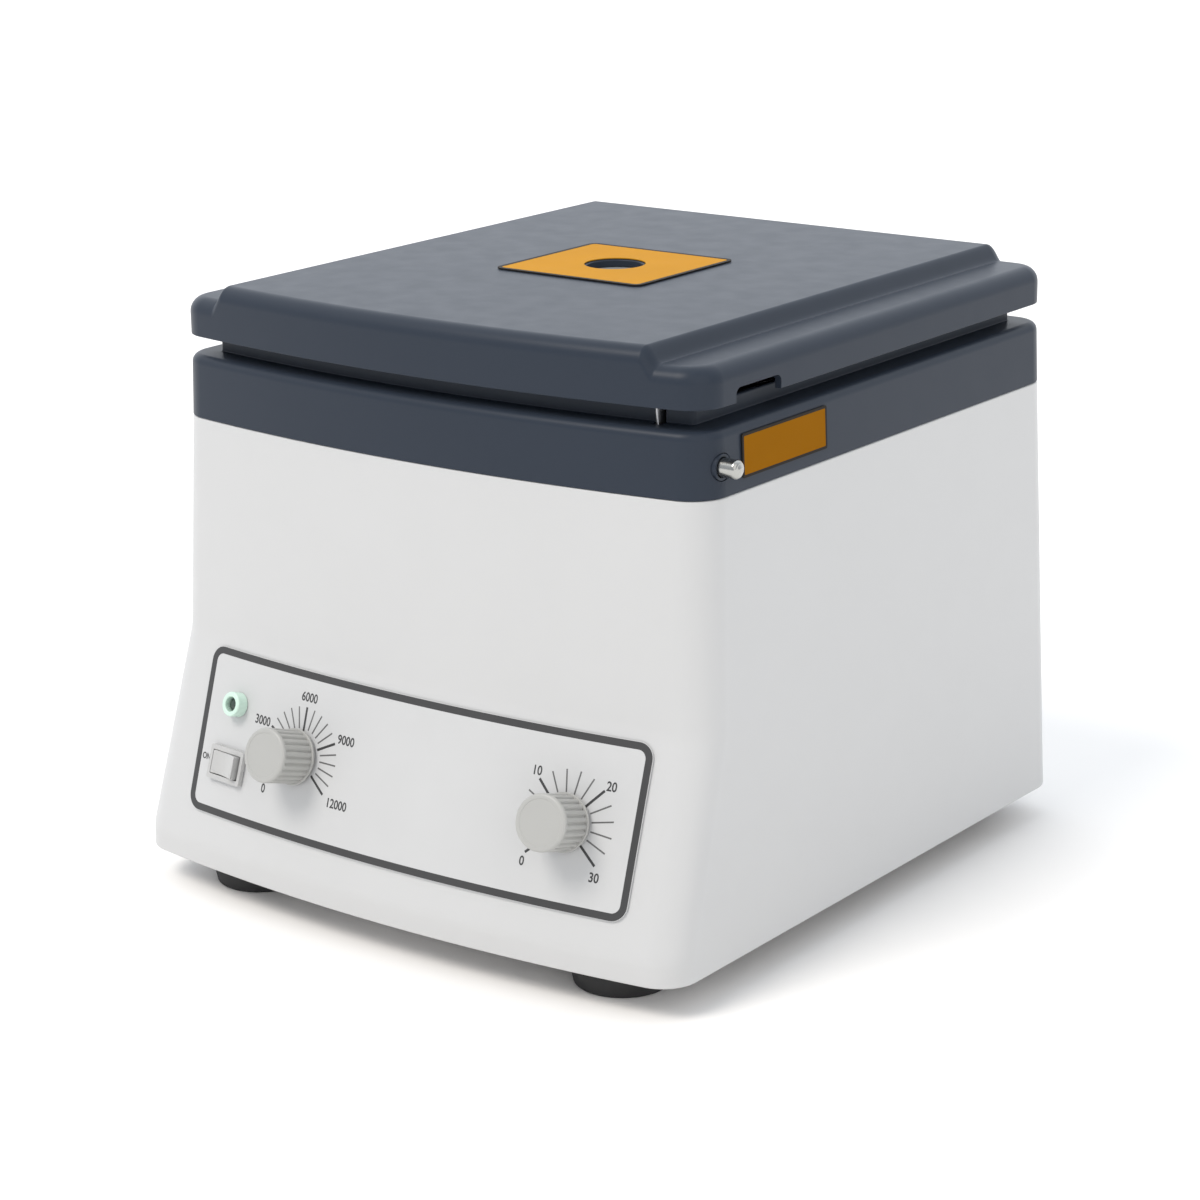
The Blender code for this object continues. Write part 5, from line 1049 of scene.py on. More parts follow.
def panel_plate():
    """The film is built in columns from the left to the right, so that it follows the bow."""
    side, end = PANEL_HALF_WIDTH - PANEL_CORNER, PANEL_LENGTH / 2 - PANEL_CORNER
    corner = [(side + PANEL_CORNER * across, end + PANEL_CORNER * up) for across, up in arc(CORNER_STEPS)]
    middle = [(x, PANEL_LENGTH / 2) for x in evenly(side, FRONT_PARTS)]
    rings = []
    for across, half in [(-x, half) for x, half in corner] + middle + corner[::-1]:
        x = PANEL_SHIFT + across
        rings.append([(x, -half, GAP), (x, half, GAP), (x, half, PANEL_FACE), (x, -half, PANEL_FACE)])
    obj = on_panel(ring_surface("panel_plate", rings, filled=True))
    cut(obj, panel_cutter("panel"))
    place(settled(obj), "base", "control_panel")


def printed(name, shapes):
    """Joins flat prints drawn on the panel and maps them onto it."""
    place(on_panel(together(name, shapes)), "base")


def print_band(outer, inner):
    """A closed ring of ink between two outlines with matching points."""
    rings = []
    for points, lift in ((outer, INK_LOW), (outer, INK_HIGH), (inner, INK_HIGH), (inner, INK_LOW)):
        rings.append([(across, up, lift) for across, up in points])
    return ring_surface("band", rings, closed=True)


def print_tick(centre, turn_deg, near, far, width):
    """A mark at an angle from the top, clockwise, between two radii."""
    mark = box("tick", (-width / 2, near, INK_LOW), (width / 2, far, INK_HIGH))
    return moved(mark, Matrix.Translation((*centre, 0)) @ Matrix.Rotation(-math.radians(turn_deg), 4, "Z"))


def print_text(words, spot, size=TEXT_SIZE):
    font = bpy.data.curves.new("words", "FONT")
    font.body = words
    font.size = size
    font.align_x = "CENTER"
    font.align_y = "CENTER"
    font.resolution_u = TEXT_STEPS
    font.extrude = (INK_HIGH - INK_LOW) / 2
    font.offset = TEXT_WEIGHT
    obj = mesh_of(new_object("words", font))
    levels = [vertex.co.y for vertex in obj.data.vertices]
    middle = (max(levels) + min(levels)) / 2
    lift = Matrix.Translation((*panel_spot(*spot), (INK_HIGH + INK_LOW) / 2))
    return moved(obj, lift @ Matrix.Diagonal((TEXT_SQUEEZE, 1, 1, 1)) @ Matrix.Translation((0, -middle, 0)))


def scale(name, spot, sweep, far, numerals):
    """Ticks round a knob, with a longer and wider one at each numeral."""
    centre = panel_spot(*spot)
    count = (len(numerals) - 1) * SCALE_PARTS
    majors, minors = [], []
    for step in range(count + 1):
        turn = sweep * (2 * step / count - 1)
        if step % SCALE_PARTS:
            minors.append(print_tick(centre, turn, MINOR_NEAR, far, MINOR_WIDTH))
        else:
            majors.append(print_tick(centre, turn, MAJOR_NEAR, far, MAJOR_WIDTH))
    printed(name + "_scale", majors + [print_text(*numeral) for numeral in numerals])
    printed(name + "_scale_fine", minors)


def panel_print():
    border = [panel_outline(margin) for margin in (BORDER_MARGIN, BORDER_MARGIN + BORDER_WIDTH)]
    printed("panel_border", [print_band(*border)])
    scale("speed", SPEED_SPOT, SPEED_SWEEP, SPEED_TICK_FAR, SPEED_NUMERALS)
    scale("timer", TIMER_SPOT, TIMER_SWEEP, TIMER_TICK_FAR, TIMER_NUMERALS)
    printed("switch_mark", [print_text(*SWITCH_MARK, TEXT_SIZE * SWITCH_TEXT_SHARE)])


# Knobs: narrow grooves between broad ridges, over a plain ring
def knob_ring(radius, height, flute):
    points = []
    count = FLUTE_COUNT * FLUTE_STEPS
    for step in range(count):
        angle = 2 * math.pi * step / count
        reach = radius - flute * ((1 - math.cos(FLUTE_COUNT * angle)) / 2) ** FLUTE_POWER
        points.append((reach * math.cos(angle), reach * math.sin(angle), height))
    return points


def control_knob(name, spot):
    low = PANEL_FACE + GAP + KNOB_STANDOFF
    high = low + KNOB_HEIGHT
    collar = low + KNOB_COLLAR_HEIGHT
    grip = KNOB_RADIUS - KNOB_COLLAR_STEP
    rows = [
        (KNOB_RADIUS - KNOB_FOOT_EDGE, low, 0),
        (KNOB_RADIUS, low + KNOB_FOOT_EDGE, 0),
        (KNOB_RADIUS, collar - KNOB_FOOT_EDGE, 0),
        (KNOB_RADIUS - KNOB_FOOT_EDGE, collar, 0),
        (grip - KNOB_FOOT_EDGE, collar, FLUTE_DEPTH),
    ]
    for across, up in arc(LIP_STEPS):
        rows.append((grip, high - KNOB_FACE_RIM + FLUTE_DEPTH * up, FLUTE_DEPTH * across))
    for across, up in arc(BEND_STEPS):
        rows.append((grip - KNOB_EDGE * (1 - across), high - KNOB_EDGE + KNOB_EDGE * up, 0))
    rows.append((grip - KNOB_FACE_MARGIN, high, 0))
    rows.append((grip - KNOB_FACE_MARGIN - KNOB_DISH, high - KNOB_DISH, 0))
    obj = ring_surface(name + "_control", [knob_ring(*row) for row in rows], filled=True)
    bore = CONTROL_SHAFT_RADIUS + GAP
    recess = low + CONTROL_NUT_HEIGHT + GAP
    profile = [
        (KNOB_RECESS_RADIUS, low - OVERRUN),
        (KNOB_RECESS_RADIUS, recess),
        (bore, recess),
        (bore, high - KNOB_TOP_WALL),
    ]
    cut(obj, turned(name + "_bore", profile, SMALL_STEPS))
    finish(obj, spot, name + "_dial", name + "_knob")


# Switch and indicator
def switch_frame():
    low = PANEL_FACE + GAP
    high = low + SWITCH_FRAME_THICKNESS
    shape = rounded_rectangle(SWITCH_FRAME_WIDTH, SWITCH_FRAME_HEIGHT, SWITCH_FRAME_CORNER)
    obj = apply_modifiers(bevelled(plate("switch_frame", shape, low, high), SWITCH_FRAME_EDGE, LIP_STEPS))
    join(obj, block("switch_case", SWITCH_BODY_WIDTH, SWITCH_BODY_HEIGHT, -SWITCH_DEPTH, (low + high) / 2))
    width = SWITCH_BODY_WIDTH - 2 * SWITCH_WALL
    height = SWITCH_BODY_HEIGHT - 2 * SWITCH_SIDE_WALL
    well = rounded_rectangle(width, height, SWITCH_WELL_CORNER)
    cut(obj, plate("switch_well", well, -SWITCH_WELL, high + OVERRUN))
    finish(obj, SWITCH_FRAME, "base", "power_switch_body")


def rocker():
    side = [
        (-ROCKER_FOOT_HALF_LENGTH, -ROCKER_FOOT_DROP),
        (0, -ROCKER_MIDDLE_DROP),
        (ROCKER_FOOT_HALF_LENGTH, -ROCKER_FOOT_DROP),
    ]
    for step in range(2 * BEND_STEPS + 1):
        share = step / BEND_STEPS - 1
        rise = ROCKER_MIDDLE_RISE + (ROCKER_END_RISE - ROCKER_MIDDLE_RISE) * share**2
        side.append((-ROCKER_HALF_LENGTH * share, rise))
    half = SWITCH_BODY_HEIGHT / 2 - SWITCH_SIDE_WALL - GAP
    obj = bevelled(plate("rocker_key", side, -half, half), ROCKER_EDGE, LIP_STEPS, ROCKER_EDGE_DEG)
    moved(settled(obj), Matrix.Rotation(QUARTER, 4, "X"))
    moved(obj, Matrix.Rotation(-math.radians(ROCKER_REST_DEG), 4, "Y"))
    moved(obj, SWITCH_FRAME @ Matrix.Translation((0, 0, ROCKER_PIVOT)))
    place(obj, "rocker", "power_rocker")


def indicator():
    low = PANEL_FACE + GAP
    high = low + INDICATOR_RISE
    lens_top = high - INDICATOR_RECESS_DEPTH
    lens_low = lens_top - LENS_LENGTH
    corners = [
        (INDICATOR_BARREL, -INDICATOR_DEPTH),
        (INDICATOR_BARREL, low),
        (INDICATOR_RADIUS, low),
        (INDICATOR_RADIUS, high, INDICATOR_EDGE),
        (INDICATOR_RECESS, high, INDICATOR_LIP),
        (INDICATOR_RECESS, lens_low - GAP),
    ]
    finish(turned("indicator_ring", corners, SMALL_STEPS), INDICATOR_FRAME, "base", "indicator_bezel")
    radius = INDICATOR_RECESS - GAP
    dome = [(radius * across, lens_top + LENS_DOME * up) for across, up in arc(BEND_STEPS)]
    profile = [(radius, lens_low), *dome[:-1]]
    finish(turned("indicator_eye", profile, SMALL_STEPS), INDICATOR_FRAME, "base", "indicator_lens")


# Labels and the release pin
def label(name, body, node, size, corner, edge_width, spot, holes=()):
    """A plain label with a dark edge line. Its frame has Z out of the surface."""
    width, length = size
    top = GAP + LABEL_THICKNESS
    sheet = plate(name + "_plate", rounded_rectangle(width, length, corner), GAP, top, holes)
    finish(sheet, spot, body, node)
    rings = []
    for margin, height in (
        (-LABEL_EDGE_OVER, GAP),
        (-LABEL_EDGE_OVER, top + INK_RISE),
        (edge_width, top + INK_RISE),
        (edge_width, top - INK_SINK),
        (LABEL_EDGE_OVER, top - INK_SINK),
        (LABEL_EDGE_OVER, GAP),
    ):
        radius = max(corner - margin, LEAST_CORNER / 2)
        points = rounded_rectangle(width - 2 * margin, length - 2 * margin, radius)
        rings.append([(across, up, height) for across, up in points])
    place(moved(ring_surface(name + "_edge", rings, closed=True), spot), body)


def labels():
    on_field = Matrix.Translation((0, AXIS_Y, FIELD_TOP))
    hole = circle(SIGHT_RADIUS + LABEL_HOLE_MARGIN, steps=ROUND_STEPS)
    label("lid_plate", "lid", "lid_label", LID_LABEL_SIZE, LABEL_CORNER, LABEL_EDGE_WIDTH, on_field, [hole])
    length, height = SIDE_LABEL_SIZE
    beside = side_frame(SIDE_LABEL_NEAR + length / 2, SEAM_HEIGHT + SIDE_LABEL_RISE + height / 2)
    label("side_plate", "base", "side_label", SIDE_LABEL_SIZE, SIDE_LABEL_CORNER, SIDE_EDGE_WIDTH, beside)


def release_pin():
    """The pin and its bush are turned about Z, with heights as places along X, and laid on the pin's axis."""
    spot = Matrix.Translation((0, LATCH_Y, PIN_HEIGHT)) @ Matrix.Rotation(QUARTER, 4, "Y")
    wall = cover_plan(PIN_HEIGHT).half
    face = wall + PIN_REACH - PIN_BULGE
    shoulder = wall - PIN_SHOULDER_INSET
    flat = PIN_RADIUS - PIN_ROUND
    profile = [
        (PIN_ROD_RADIUS, HOOK_FACE_X + GAP),
        (PIN_ROD_RADIUS, shoulder - PIN_COLLAR),
        (PIN_COLLAR_RADIUS, shoulder - PIN_COLLAR),
        (PIN_COLLAR_RADIUS, shoulder),
        (PIN_RADIUS, shoulder),
    ]
    profile += [(flat + PIN_ROUND * across, face - PIN_ROUND * (1 - up)) for across, up in arc(BEND_STEPS)]
    for step in range(1, LIP_STEPS + 1):
        share = 1 - step / (LIP_STEPS + 1)
        profile.append((flat * share, face + PIN_BULGE * (1 - share**2)))
    finish(turned("latch_button", profile, SMALL_STEPS), spot, "release_button", "release_pin")

    bore = PIN_RADIUS + GAP
    start = shoulder + GAP
    corners = [
        (bore, start),
        (BUSH_FLANGE_RADIUS, start),
        (BUSH_FLANGE_RADIUS, start + BUSH_FLANGE),
        (bore + BUSH_WALL, start + BUSH_FLANGE),
        (bore + BUSH_WALL, wall, BUSH_EDGE),
        (bore, wall, BUSH_EDGE),
    ]
    finish(turned("bush_ring", corners, SMALL_STEPS, closed=True), spot, "base", "release_pin_bush")


# Chamber, rotor and feet
def ring_profile(inner, outer, low, high):
    return [(outer, high), (outer, low), (inner, low), (inner, high)]


def chamber():
    seat = DECK_TOP + GAP
    top = seat + BOWL_SHEET
    floor = DECK_TOP - BOWL_DEPTH
    outer = BOWL_RADIUS + BOWL_FLANGE
    corners = [
        (outer, top, BOWL_LIP),
        (outer, seat, BOWL_LIP),
        (BOWL_RADIUS, seat),
        (BOWL_RADIUS, floor, BOWL_CORNER),
        (BOWL_HOLE_RADIUS, floor),
        (BOWL_HOLE_RADIUS, floor + BOWL_SHEET),
        (BOWL_RADIUS - BOWL_SHEET, floor + BOWL_SHEET, BOWL_CORNER - BOWL_SHEET),
        (BOWL_RADIUS - BOWL_SHEET, top, BOWL_ROUND),
    ]
    finish(turned("bowl", corners, closed=True, arc_steps=BOWL_STEPS), AXIS, "base", "chamber_bowl")
    inner = BOWL_RADIUS + GASKET_INSET
    corners = ring_profile(inner, inner + GASKET_WIDTH, top + GAP, LID_BOTTOM - GAP)
    corners = [(*corner, GASKET_EDGE) for corner in corners]
    finish(turned("gasket", corners, closed=True), AXIS, "base", "chamber_gasket")


def rotor():
    bottom = DECK_TOP - ROTOR_DROP
    top = bottom + ROTOR_THICKNESS
    rim_inner = ROTOR_RADIUS - ROTOR_RIM
    groove_inner = rim_inner - GROOVE_WIDTH
    rim_top = top + ROTOR_RIM_RISE
    bore = SHAFT_RADIUS + GAP
    corners = [
        (ROTOR_RADIUS, rim_top, ROTOR_EDGE),
        (ROTOR_RADIUS, bottom, ROTOR_EDGE),
        (LOWER_HUB_RADIUS, bottom),
        (LOWER_HUB_RADIUS, bottom - LOWER_HUB_DROP, ROTOR_EDGE),
        (bore, bottom - LOWER_HUB_DROP),
        (bore, top + HUB_RISE),
        (HUB_RADIUS, top + HUB_RISE, ROTOR_EDGE),
        (HUB_RADIUS, top),
        (groove_inner, top),
        (groove_inner, top - GROOVE_DEPTH),
        (rim_inner, top - GROOVE_DEPTH),
        (rim_inner, rim_top, ROTOR_EDGE),
    ]
    obj = turned("rotor_plate", corners, closed=True)
    slots = []
    for number in range(SLOT_COUNT):
        near = (HUB_RADIUS + SLOT_HUB_MARGIN, -SLOT_WIDTH / 2, top - SLOT_DEPTH)
        far = (groove_inner + SLOT_GROOVE_REACH, SLOT_WIDTH / 2, top + OVERRUN)
        turn = Matrix.Rotation(2 * math.pi * (number + 1 / 2) / SLOT_COUNT, 4, "Z")
        slots.append(moved(box("slot", near, far), turn))
    cut(obj, together("rotor_slots", slots))
    finish(obj, AXIS, "rotor", "rotor_disc")

    low = rim_top + GAP
    high = low + ROTOR_COVER_THICKNESS
    outer = ROTOR_RADIUS - ROTOR_COVER_INSET
    seat = top + HUB_RISE + GAP
    corners = [
        (outer, high, ROTOR_EDGE),
        (outer, low, ROTOR_EDGE),
        (HUB_RADIUS, low),
        (HUB_RADIUS, seat),
        (bore, seat),
        (bore, high),
    ]
    finish(turned("rotor_lid", corners, closed=True), AXIS, "rotor", "rotor_cover")

    low = high + GAP
    high = low + NUT_HEIGHT
    corners = [
        (bore, high - NUT_CROWN),
        (bore, low),
        (NUT_RADIUS, low, NUT_FOOT_EDGE),
        (NUT_RADIUS, high, NUT_EDGE),
        (NUT_RADIUS - 2 * NUT_EDGE, high),
    ]
    nut = turned("grip_nut", corners)
    grips = []
    for x, y in circle(NUT_RADIUS, steps=NUT_GRIPS):
        grips.append(rod("grip", NUT_GRIP_DEPTH, (x, y, low - OVERRUN), (x, y, high + OVERRUN)))
    cut(nut, together("nut_grips", grips))
    finish(nut, AXIS, "rotor_nut", "rotor_nut")


def feet():
    face = FOOT_HEIGHT - GAP
    head = FOOT_HEIGHT + PLATE_THICKNESS + GAP
    corners = [
        (FOOT_BOTTOM_RADIUS - FOOT_DIMPLE, 0),
        (FOOT_BOTTOM_RADIUS, 0, FOOT_EDGE),
        (FOOT_RADIUS, FOOT_HEIGHT / 2, FOOT_SHOULDER),
        (FOOT_RADIUS, face, FOOT_EDGE),
        (FOOT_STEM_RADIUS, face),
        (FOOT_STEM_RADIUS, head),
        (FOOT_HEAD_RADIUS, head),
        (FOOT_STEM_RADIUS, head + FOOT_HEAD_HEIGHT),
    ]
    places = four_places(BASE_HALF_WIDTH - FOOT_SIDE_INSET, FOOT_FRONT_INSET, FOOT_REAR_INSET)
    for name, (x, y) in zip(("front_left", "front_right", "rear_left", "rear_right"), places):
        obj = turned("rubber_" + name, corners, SMALL_STEPS, arc_steps=BEND_STEPS)
        finish(obj, Matrix.Translation((x, y, 0)), "base", "foot_" + name)


def cross_recess(name, face):
    """A cross-shaped tool with its middle on Z, through the given height."""
    long, thin = CROSS_REACH, CROSS_WIDTH / 2
    quarter = [(thin, long), (-thin, long), (-thin, thin)]
    corners = []
    for cosine, sine in ((1, 0), (0, 1), (-1, 0), (0, -1)):
        corners += [(x * cosine - y * sine, x * sine + y * cosine) for x, y in quarter]
    return plate(name, corners, face - CROSS_DEPTH, face + CROSS_DEPTH)


def base_screws():
    under = FOOT_HEIGHT - GAP
    face = under - SCREW_HEAD_HEIGHT
    corners = [
        (SCREW_HEAD_RADIUS - SCREW_HEAD_HEIGHT, face),
        (SCREW_HEAD_RADIUS, face, SCREW_ROUND),
        (SCREW_HEAD_RADIUS, under),
        (SCREW_RADIUS, under),
        (SCREW_RADIUS, under + SCREW_LENGTH),
    ]
    for number, (x, y) in enumerate(boss_places(), 1):
        obj = cut(turned(f"plate_screw_{number}", corners, SMALL_STEPS), cross_recess("cross", face))
        finish(obj, Matrix.Translation((x, y, 0)), "base", f"base_screw_{number}")


# Lid's liner and window
def liner_and_window():
    shape = outline(inset(cover_plan(DECK_TOP), WALL + GAP))
    liner_top = LID_BOTTOM + LINER_THICKNESS
    liner = plate("liner", shape, LID_BOTTOM, liner_top, [circle(COLLAR_INNER_RADIUS, (0, AXIS_Y))])
    high = FIELD_TOP - WALL - GAP
    low = high - WINDOW_THICKNESS
    middle = LID_BOTTOM + LINER_THICKNESS / 2
    profile = ring_profile(COLLAR_INNER_RADIUS, COLLAR_OUTER_RADIUS, middle, low - GAP)
    join(liner, moved(turned("collar", profile, SMALL_STEPS, closed=True), AXIS))
    width, length = STRIKER_SHEET + 2 * LINER_SLOT_PLAY, 2 * (STRIKER_HALF_WIDTH + LINER_SLOT_PLAY)
    under, over = LID_BOTTOM - OVERRUN, liner_top + OVERRUN
    near = (SEAM_HALF_WIDTH - WALL - NOTCH_DEPTH, NOTCH_NEAR, under)
    far = (SEAM_HALF_WIDTH, NOTCH_FAR + NOTCH_DEPTH, over)
    slot = block("liner_slot", width, length, under, over, (STRIKER_X, LATCH_Y))
    cut(liner, slot, box("liner_notch", near, far))
    place(settled(liner), "lid", "lid_liner")
    rim = [(WINDOW_RADIUS, height, WINDOW_EDGE) for height in (low, high)]
    profile = rounded([(0, low), *rim, (WINDOW_INNER, high)])[1:]
    finish(turned("window", profile), AXIS, "lid", "sight_window")


# Small things that only the looks show
def hinge_screws():
    """Two screws in each body leaf and two in each lid leaf."""
    sheet = HINGE_Y - HINGE_KNUCKLE_RADIUS + HINGE_SHEET
    face = sheet + HINGE_SCREW_HEIGHT
    corners = [
        (HINGE_SCREW_RADIUS, sheet - HINGE_SHEET / 2),
        (HINGE_SCREW_RADIUS, face, HINGE_SCREW_HEIGHT / 2),
        (HINGE_SCREW_FLAT, face),
    ]
    rows = (("base", DECK_TOP - HINGE_BODY_SCREW_DROP), ("lid", LID_BOTTOM + HINGE_LID_SCREW_RISE))
    for side, x in (("left", -HINGE_X), ("right", HINGE_X)):
        for body, height in rows:
            for number, across in enumerate((-HINGE_SCREW_SPREAD, HINGE_SCREW_SPREAD), 1):
                obj = turned(f"hinge_screw_{side}_{body}_{number}", corners, SMALL_STEPS)
                cut(obj, cross_recess("cross", face))
                spot = Matrix.Translation((x + across, 0, height))
                finish(obj, spot @ Matrix.Rotation(-QUARTER, 4, "X"), body)


def inlet_blades():
    """Bright metal sleeves round the inlet's three prongs."""
    floor = GAP + INLET_FLANGE_THICKNESS - SOCKET_DEPTH
    for number, (side, lift) in enumerate([(-1, -1), (0, 1), (1, -1)], 1):
        centre = (side * PRONG_SPREAD, SOCKET_RISE + lift * PRONG_LIFT)
        size = (PRONG_WIDTH + 2 * GAP, PRONG_HEIGHT + 2 * GAP)
        obj = block(f"inlet_blade_{number}", *size, floor + GAP, floor + PRONG_LENGTH + GAP, centre)
        core = block("core", PRONG_WIDTH, PRONG_HEIGHT, floor - GAP, floor + PRONG_LENGTH + GAP / 2, centre)
        finish(cut(bevelled(obj, GAP), core), INLET_FRAME, "base")


def softened_nodes():
    """Small rounded edges on the model's own sheet and box pieces that stay in the scene."""
    for name, width in SOFTENED.items():
        obj = bpy.data.objects[name]
        obj.modifiers.new("Weld", "WELD").merge_threshold = WELD
        bevel = bevelled(obj, width, degrees=SOFT_DEG).modifiers["Edges"]
        bevel.use_clamp_overlap = True
        bevel.harden_normals = True
        obj.data.shade_smooth()


# Materials
class Surface:
    """A material built from nodes. Its textures are placed in the model's metres."""

    def __init__(self, name):
        self.material = bpy.data.materials.new(name)
        self.material.use_nodes = True
        self.tree = self.material.node_tree
        self.shader = self.tree.nodes["Principled BSDF"]
        self.spot = self.tree.nodes.new("ShaderNodeTexCoord").outputs["Object"]

    def node(self, kind, source, socket=0):
        """A new node with a source linked to one of its sockets."""
        node = self.tree.nodes.new(kind)
        self.tree.links.new(source, node.inputs[socket])
        return node

    def feed(self, source, socket):
        self.tree.links.new(source, self.shader.inputs[socket])

    def noise(self, size, detail=CLOUD_DETAIL, spot=None):
        """Noise whose spots are about the given size in metres."""
        node = self.node("ShaderNodeTexNoise", spot or self.spot, "Vector")
        node.inputs["Scale"].default_value = 1 / size
        node.inputs["Detail"].default_value = detail
        return node.outputs["Fac"]

    def ranged(self, value, low, high):
        """The middle of a noise, stretched to run from low to high."""
        node = self.node("ShaderNodeMapRange", value, "Value")
        node.inputs["From Min"].default_value, node.inputs["From Max"].default_value = NOISE_MIDDLE
        node.inputs["To Min"].default_value, node.inputs["To Max"].default_value = low, high
        return node.outputs["Result"]

    def tint(self, colour, spread=CLOUD_SPREAD):
        """A base colour that faint clouds make a little darker or lighter."""
        node = self.node("ShaderNodeValToRGB", self.ranged(self.noise(CLOUD_SIZE), 0, 1))
        for stop, share in zip(node.color_ramp.elements, (1 - spread, 1 + spread)):
            stop.color = [*(min(part * share, 1) for part in colour), 1]
        self.feed(node.outputs["Color"], "Base Color")

    def vector(self, operation, source, operand=(0, 0, 0), output="Vector"):
        node = self.node("ShaderNodeVectorMath", source)
        node.operation = operation
        node.inputs[1].default_value = operand
        return node.outputs[output]

    def rough(self, value, roughness, spread=ROUGH_SPREAD):
        self.feed(self.ranged(value, roughness - spread, roughness + spread), "Roughness")

    def bump(self, height, depth):
        node = self.node("ShaderNodeBump", height, "Height")
        node.inputs["Distance"].default_value = depth
        self.feed(node.outputs["Normal"], "Normal")

    def worn(self, marks, roughness, depth):
        """Bare metal whose gloss and surface follow fine marks."""
        self.rough(marks, roughness)
        self.shader.inputs["Metallic"].default_value = 1
        self.bump(marks, depth)


def moulded(name, look):
    """A plain surface with uneven gloss and a fine grain."""
    surface = Surface(name)
    surface.tint(look.colour, look.spread)
    surface.rough(surface.noise(SMEAR_SIZE, SMEAR_DETAIL), look.roughness)
    surface.shader.inputs["Specular IOR Level"].default_value = look.gloss
    surface.bump(surface.noise(look.grain), look.depth)
    return surface.material


def machined(name, colour, roughness):
    """Bare metal with fine turning marks in rings round the rotor's axis."""
    surface = Surface(name)
    surface.tint(colour, METAL_SPREAD)
    offset = surface.vector("SUBTRACT", surface.spot, (0, AXIS_Y + SHIFT_Y, 0))
    flat = surface.vector("MULTIPLY", offset, (1, 1, 0))
    reach = surface.vector("LENGTH", flat, output="Value")
    level = surface.node("ShaderNodeSeparateXYZ", surface.spot)
    rings = surface.node("ShaderNodeCombineXYZ", reach, "X")
    surface.tree.links.new(level.outputs["Z"], rings.inputs["Y"])
    surface.worn(surface.noise(TURNING_SIZE, METAL_DETAIL, rings.outputs["Vector"]), roughness, TURNING_DEPTH)
    return surface.material


def brushed(name, colour, roughness, stretch):
    """Sheet metal or a ground pin, with fine lines along one direction."""
    surface = Surface(name)
    surface.tint(colour, SHEET_SPREAD)
    lines = surface.noise(BRUSH_SIZE, METAL_DETAIL, surface.vector("MULTIPLY", surface.spot, stretch))
    surface.worn(lines, roughness, BRUSH_DEPTH)
    return surface.material


def clear(name, colour, roughness, share):
    """A clear plastic that lets a share of the light through, with faint scuffs."""
    surface = Surface(name)
    surface.tint(colour)
    scuffs = surface.noise(SMEAR_SIZE, SCUFF_DETAIL)
    surface.feed(surface.ranged(scuffs, roughness / 2, roughness * 2), "Roughness")
    surface.shader.inputs["Transmission Weight"].default_value = share
    surface.shader.inputs["IOR"].default_value = CLEAR_IOR
    return surface.material


def board(name, colour):
    """Green board with paler copper tracks under the lacquer."""
    surface = Surface(name)
    tracks = surface.node("ShaderNodeTexBrick", surface.spot, "Vector")
    tracks.inputs["Scale"].default_value = 1 / TRACK_SIZE
    tracks.inputs["Mortar Size"].default_value = TRACK_WIDTH_SHARE
    tracks.inputs["Color1"].default_value = (*colour, 1)
    tracks.inputs["Color2"].default_value = (*(part * (1 + BOARD_SPREAD) for part in colour), 1)
    tracks.inputs["Mortar"].default_value = (*TRACK, 1)
    surface.feed(tracks.outputs["Color"], "Base Color")
    surface.rough(surface.noise(SMEAR_SIZE, SMEAR_DETAIL), BOARD_ROUGHNESS, BOARD_ROUGH_SPREAD)
    surface.bump(tracks.outputs["Fac"], BRUSH_DEPTH)
    return surface.material


def paint(material, names):
    """Gives the material to the pieces that a text of name patterns lists."""
    for pattern in names.split():
        for name in fnmatch.filter(list(bpy.data.objects.keys()), pattern):
            obj = bpy.data.objects[name]
            obj.data.materials.clear()
            obj.data.materials.append(material)


def paint_all():
    for name, (look, slot, names) in MOULDED.items():
        paint(moulded(name, look), names)
    paint(clear("Clear plastic", *WINDOW), "window")
    paint(clear("Fuse glass", *GLASS), "fuse")
    paint(machined("Turned aluminium", *TURNED), "bowl rotor_plate rotor_lid")
    paint(machined("Motor steel", *MOTOR_STEEL), "motor_body motor_shaft motor_plate")
    bright = brushed("Bright steel", *BRIGHT)
    paint(bright, "latch_button inlet_blade_* plate_screw_? hinge_screw_* hinge_pin_*")
    sheet = brushed("Zinc sheet", *ZINC)
    paint(sheet, "base_plate latch_striker latch_hook latch_bracket latch_pivot_pin")
    paint(sheet, "release_spring speed_shaft timer_shaft speed_potentiometer")
    paint(board("Circuit board", BOARD), "circuit_board")


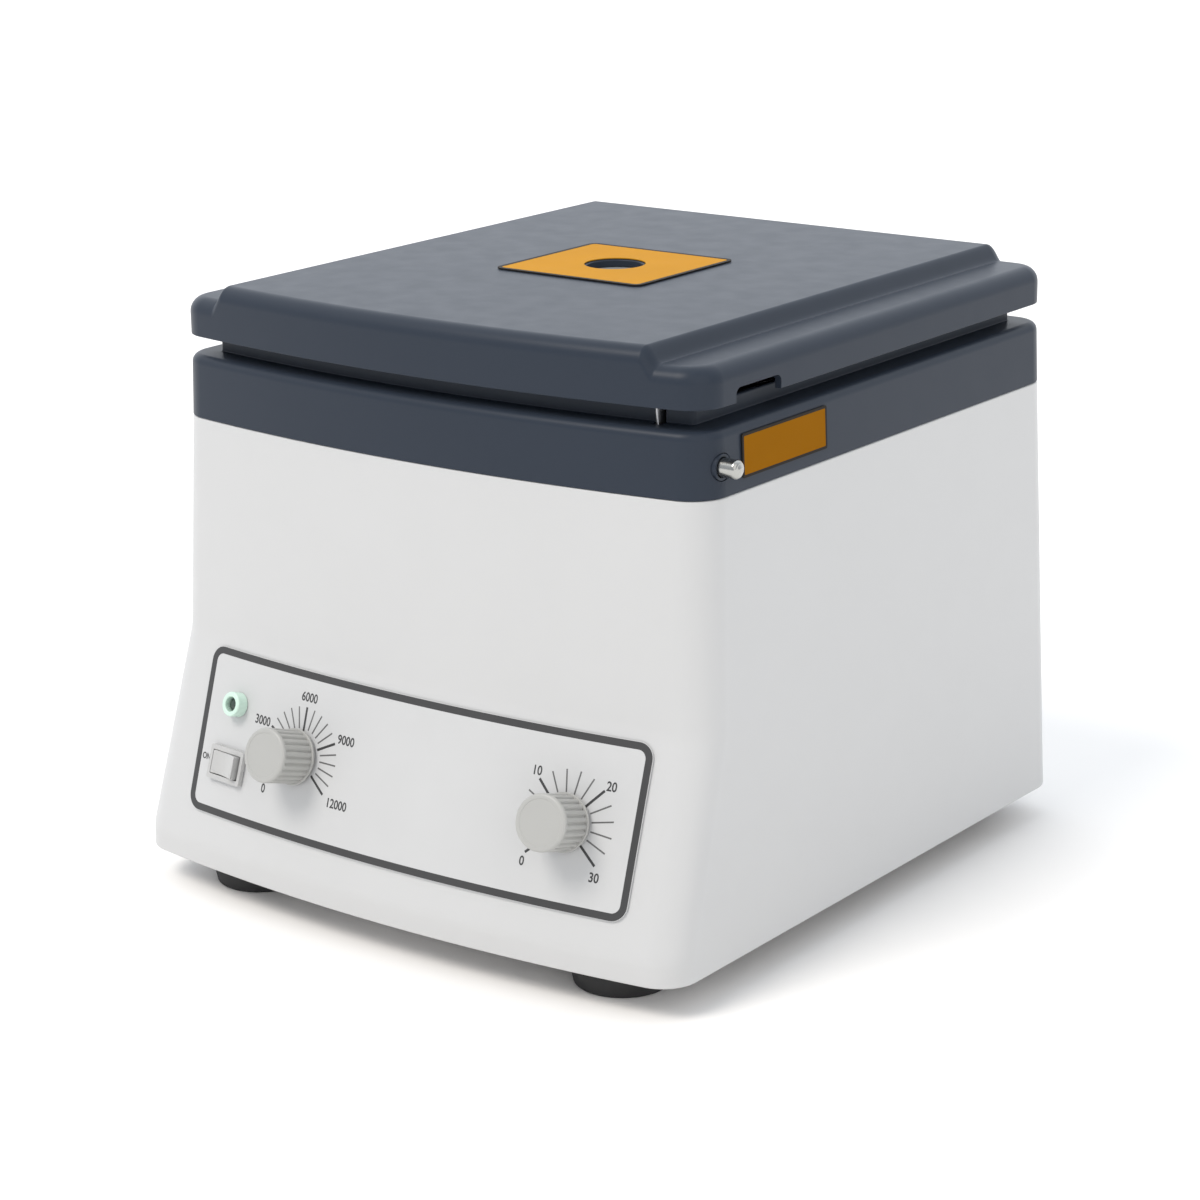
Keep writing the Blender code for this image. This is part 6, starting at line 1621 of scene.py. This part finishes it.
# Floor, light and camera
def sky():
    """An even white surround that is brighter behind the object."""
    world = bpy.data.worlds.new("Studio")
    world.use_nodes = True
    nodes, links = world.node_tree.nodes, world.node_tree.links
    level = nodes.new("ShaderNodeVectorMath")
    level.operation = "DOT_PRODUCT"
    level.inputs[1].default_value = Vector(SKY_BACK).normalized()
    links.new(nodes.new("ShaderNodeTexCoord").outputs["Generated"], level.inputs[0])
    fade = nodes.new("ShaderNodeMapRange")
    fade.interpolation_type = "SMOOTHSTEP"
    for socket, value in zip(("From Min", "From Max", "To Min", "To Max"), (*SKY_FADE, *SKY_STRENGTH)):
        fade.inputs[socket].default_value = value
    links.new(level.outputs["Value"], fade.inputs["Value"])
    nodes["Background"].inputs["Color"].default_value = (*SKY, 1)
    links.new(fade.outputs["Result"], nodes["Background"].inputs["Strength"])
    bpy.context.scene.world = world


def studio():
    floor = plate("studio_floor", circle(FLOOR_RADIUS), -FLOOR_THICKNESS, 0)
    floor.data.materials.append(moulded("Studio floor", FLOOR))
    sky()
    for name, direction, strength, spread_deg in SUNS:
        data = bpy.data.lights.new(name, "SUN")
        data.energy = strength
        data.color = SUNLIGHT
        data.angle = math.radians(spread_deg)
        new_object(name, data).rotation_euler = (-Vector(direction)).to_track_quat("-Z", "Y").to_euler()
    bpy.context.scene.view_settings.view_transform = "Standard"


def camera():
    """The photograph's view point and framing."""
    data = bpy.data.cameras.new("View")
    data.sensor_width = SENSOR
    data.lens = LENS
    back = (Vector(CAMERA_PLACE) - Vector(CAMERA_TARGET)).normalized()
    right = Vector((0, 0, 1)).cross(back).normalized()
    up = back.cross(right)
    cosine, sine = math.cos(math.radians(CAMERA_ROLL_DEG)), math.sin(math.radians(CAMERA_ROLL_DEG))
    turn = Matrix((right * cosine + up * sine, up * cosine - right * sine, back)).transposed().to_4x4()
    obj = new_object("View", data)
    obj.matrix_world = Matrix.Translation(CAMERA_PLACE) @ turn
    bpy.context.scene.camera = obj


housing()
top_cover()
lid_shell()
panel_plate()
panel_print()
control_knob("speed", SPEED_FRAME)
control_knob("timer", TIMER_FRAME)
switch_frame()
rocker()
indicator()
labels()
release_pin()
chamber()
rotor()
feet()
base_screws()
liner_and_window()
hinge_screws()
inlet_blades()
softened_nodes()
paint_all()
studio()
camera()
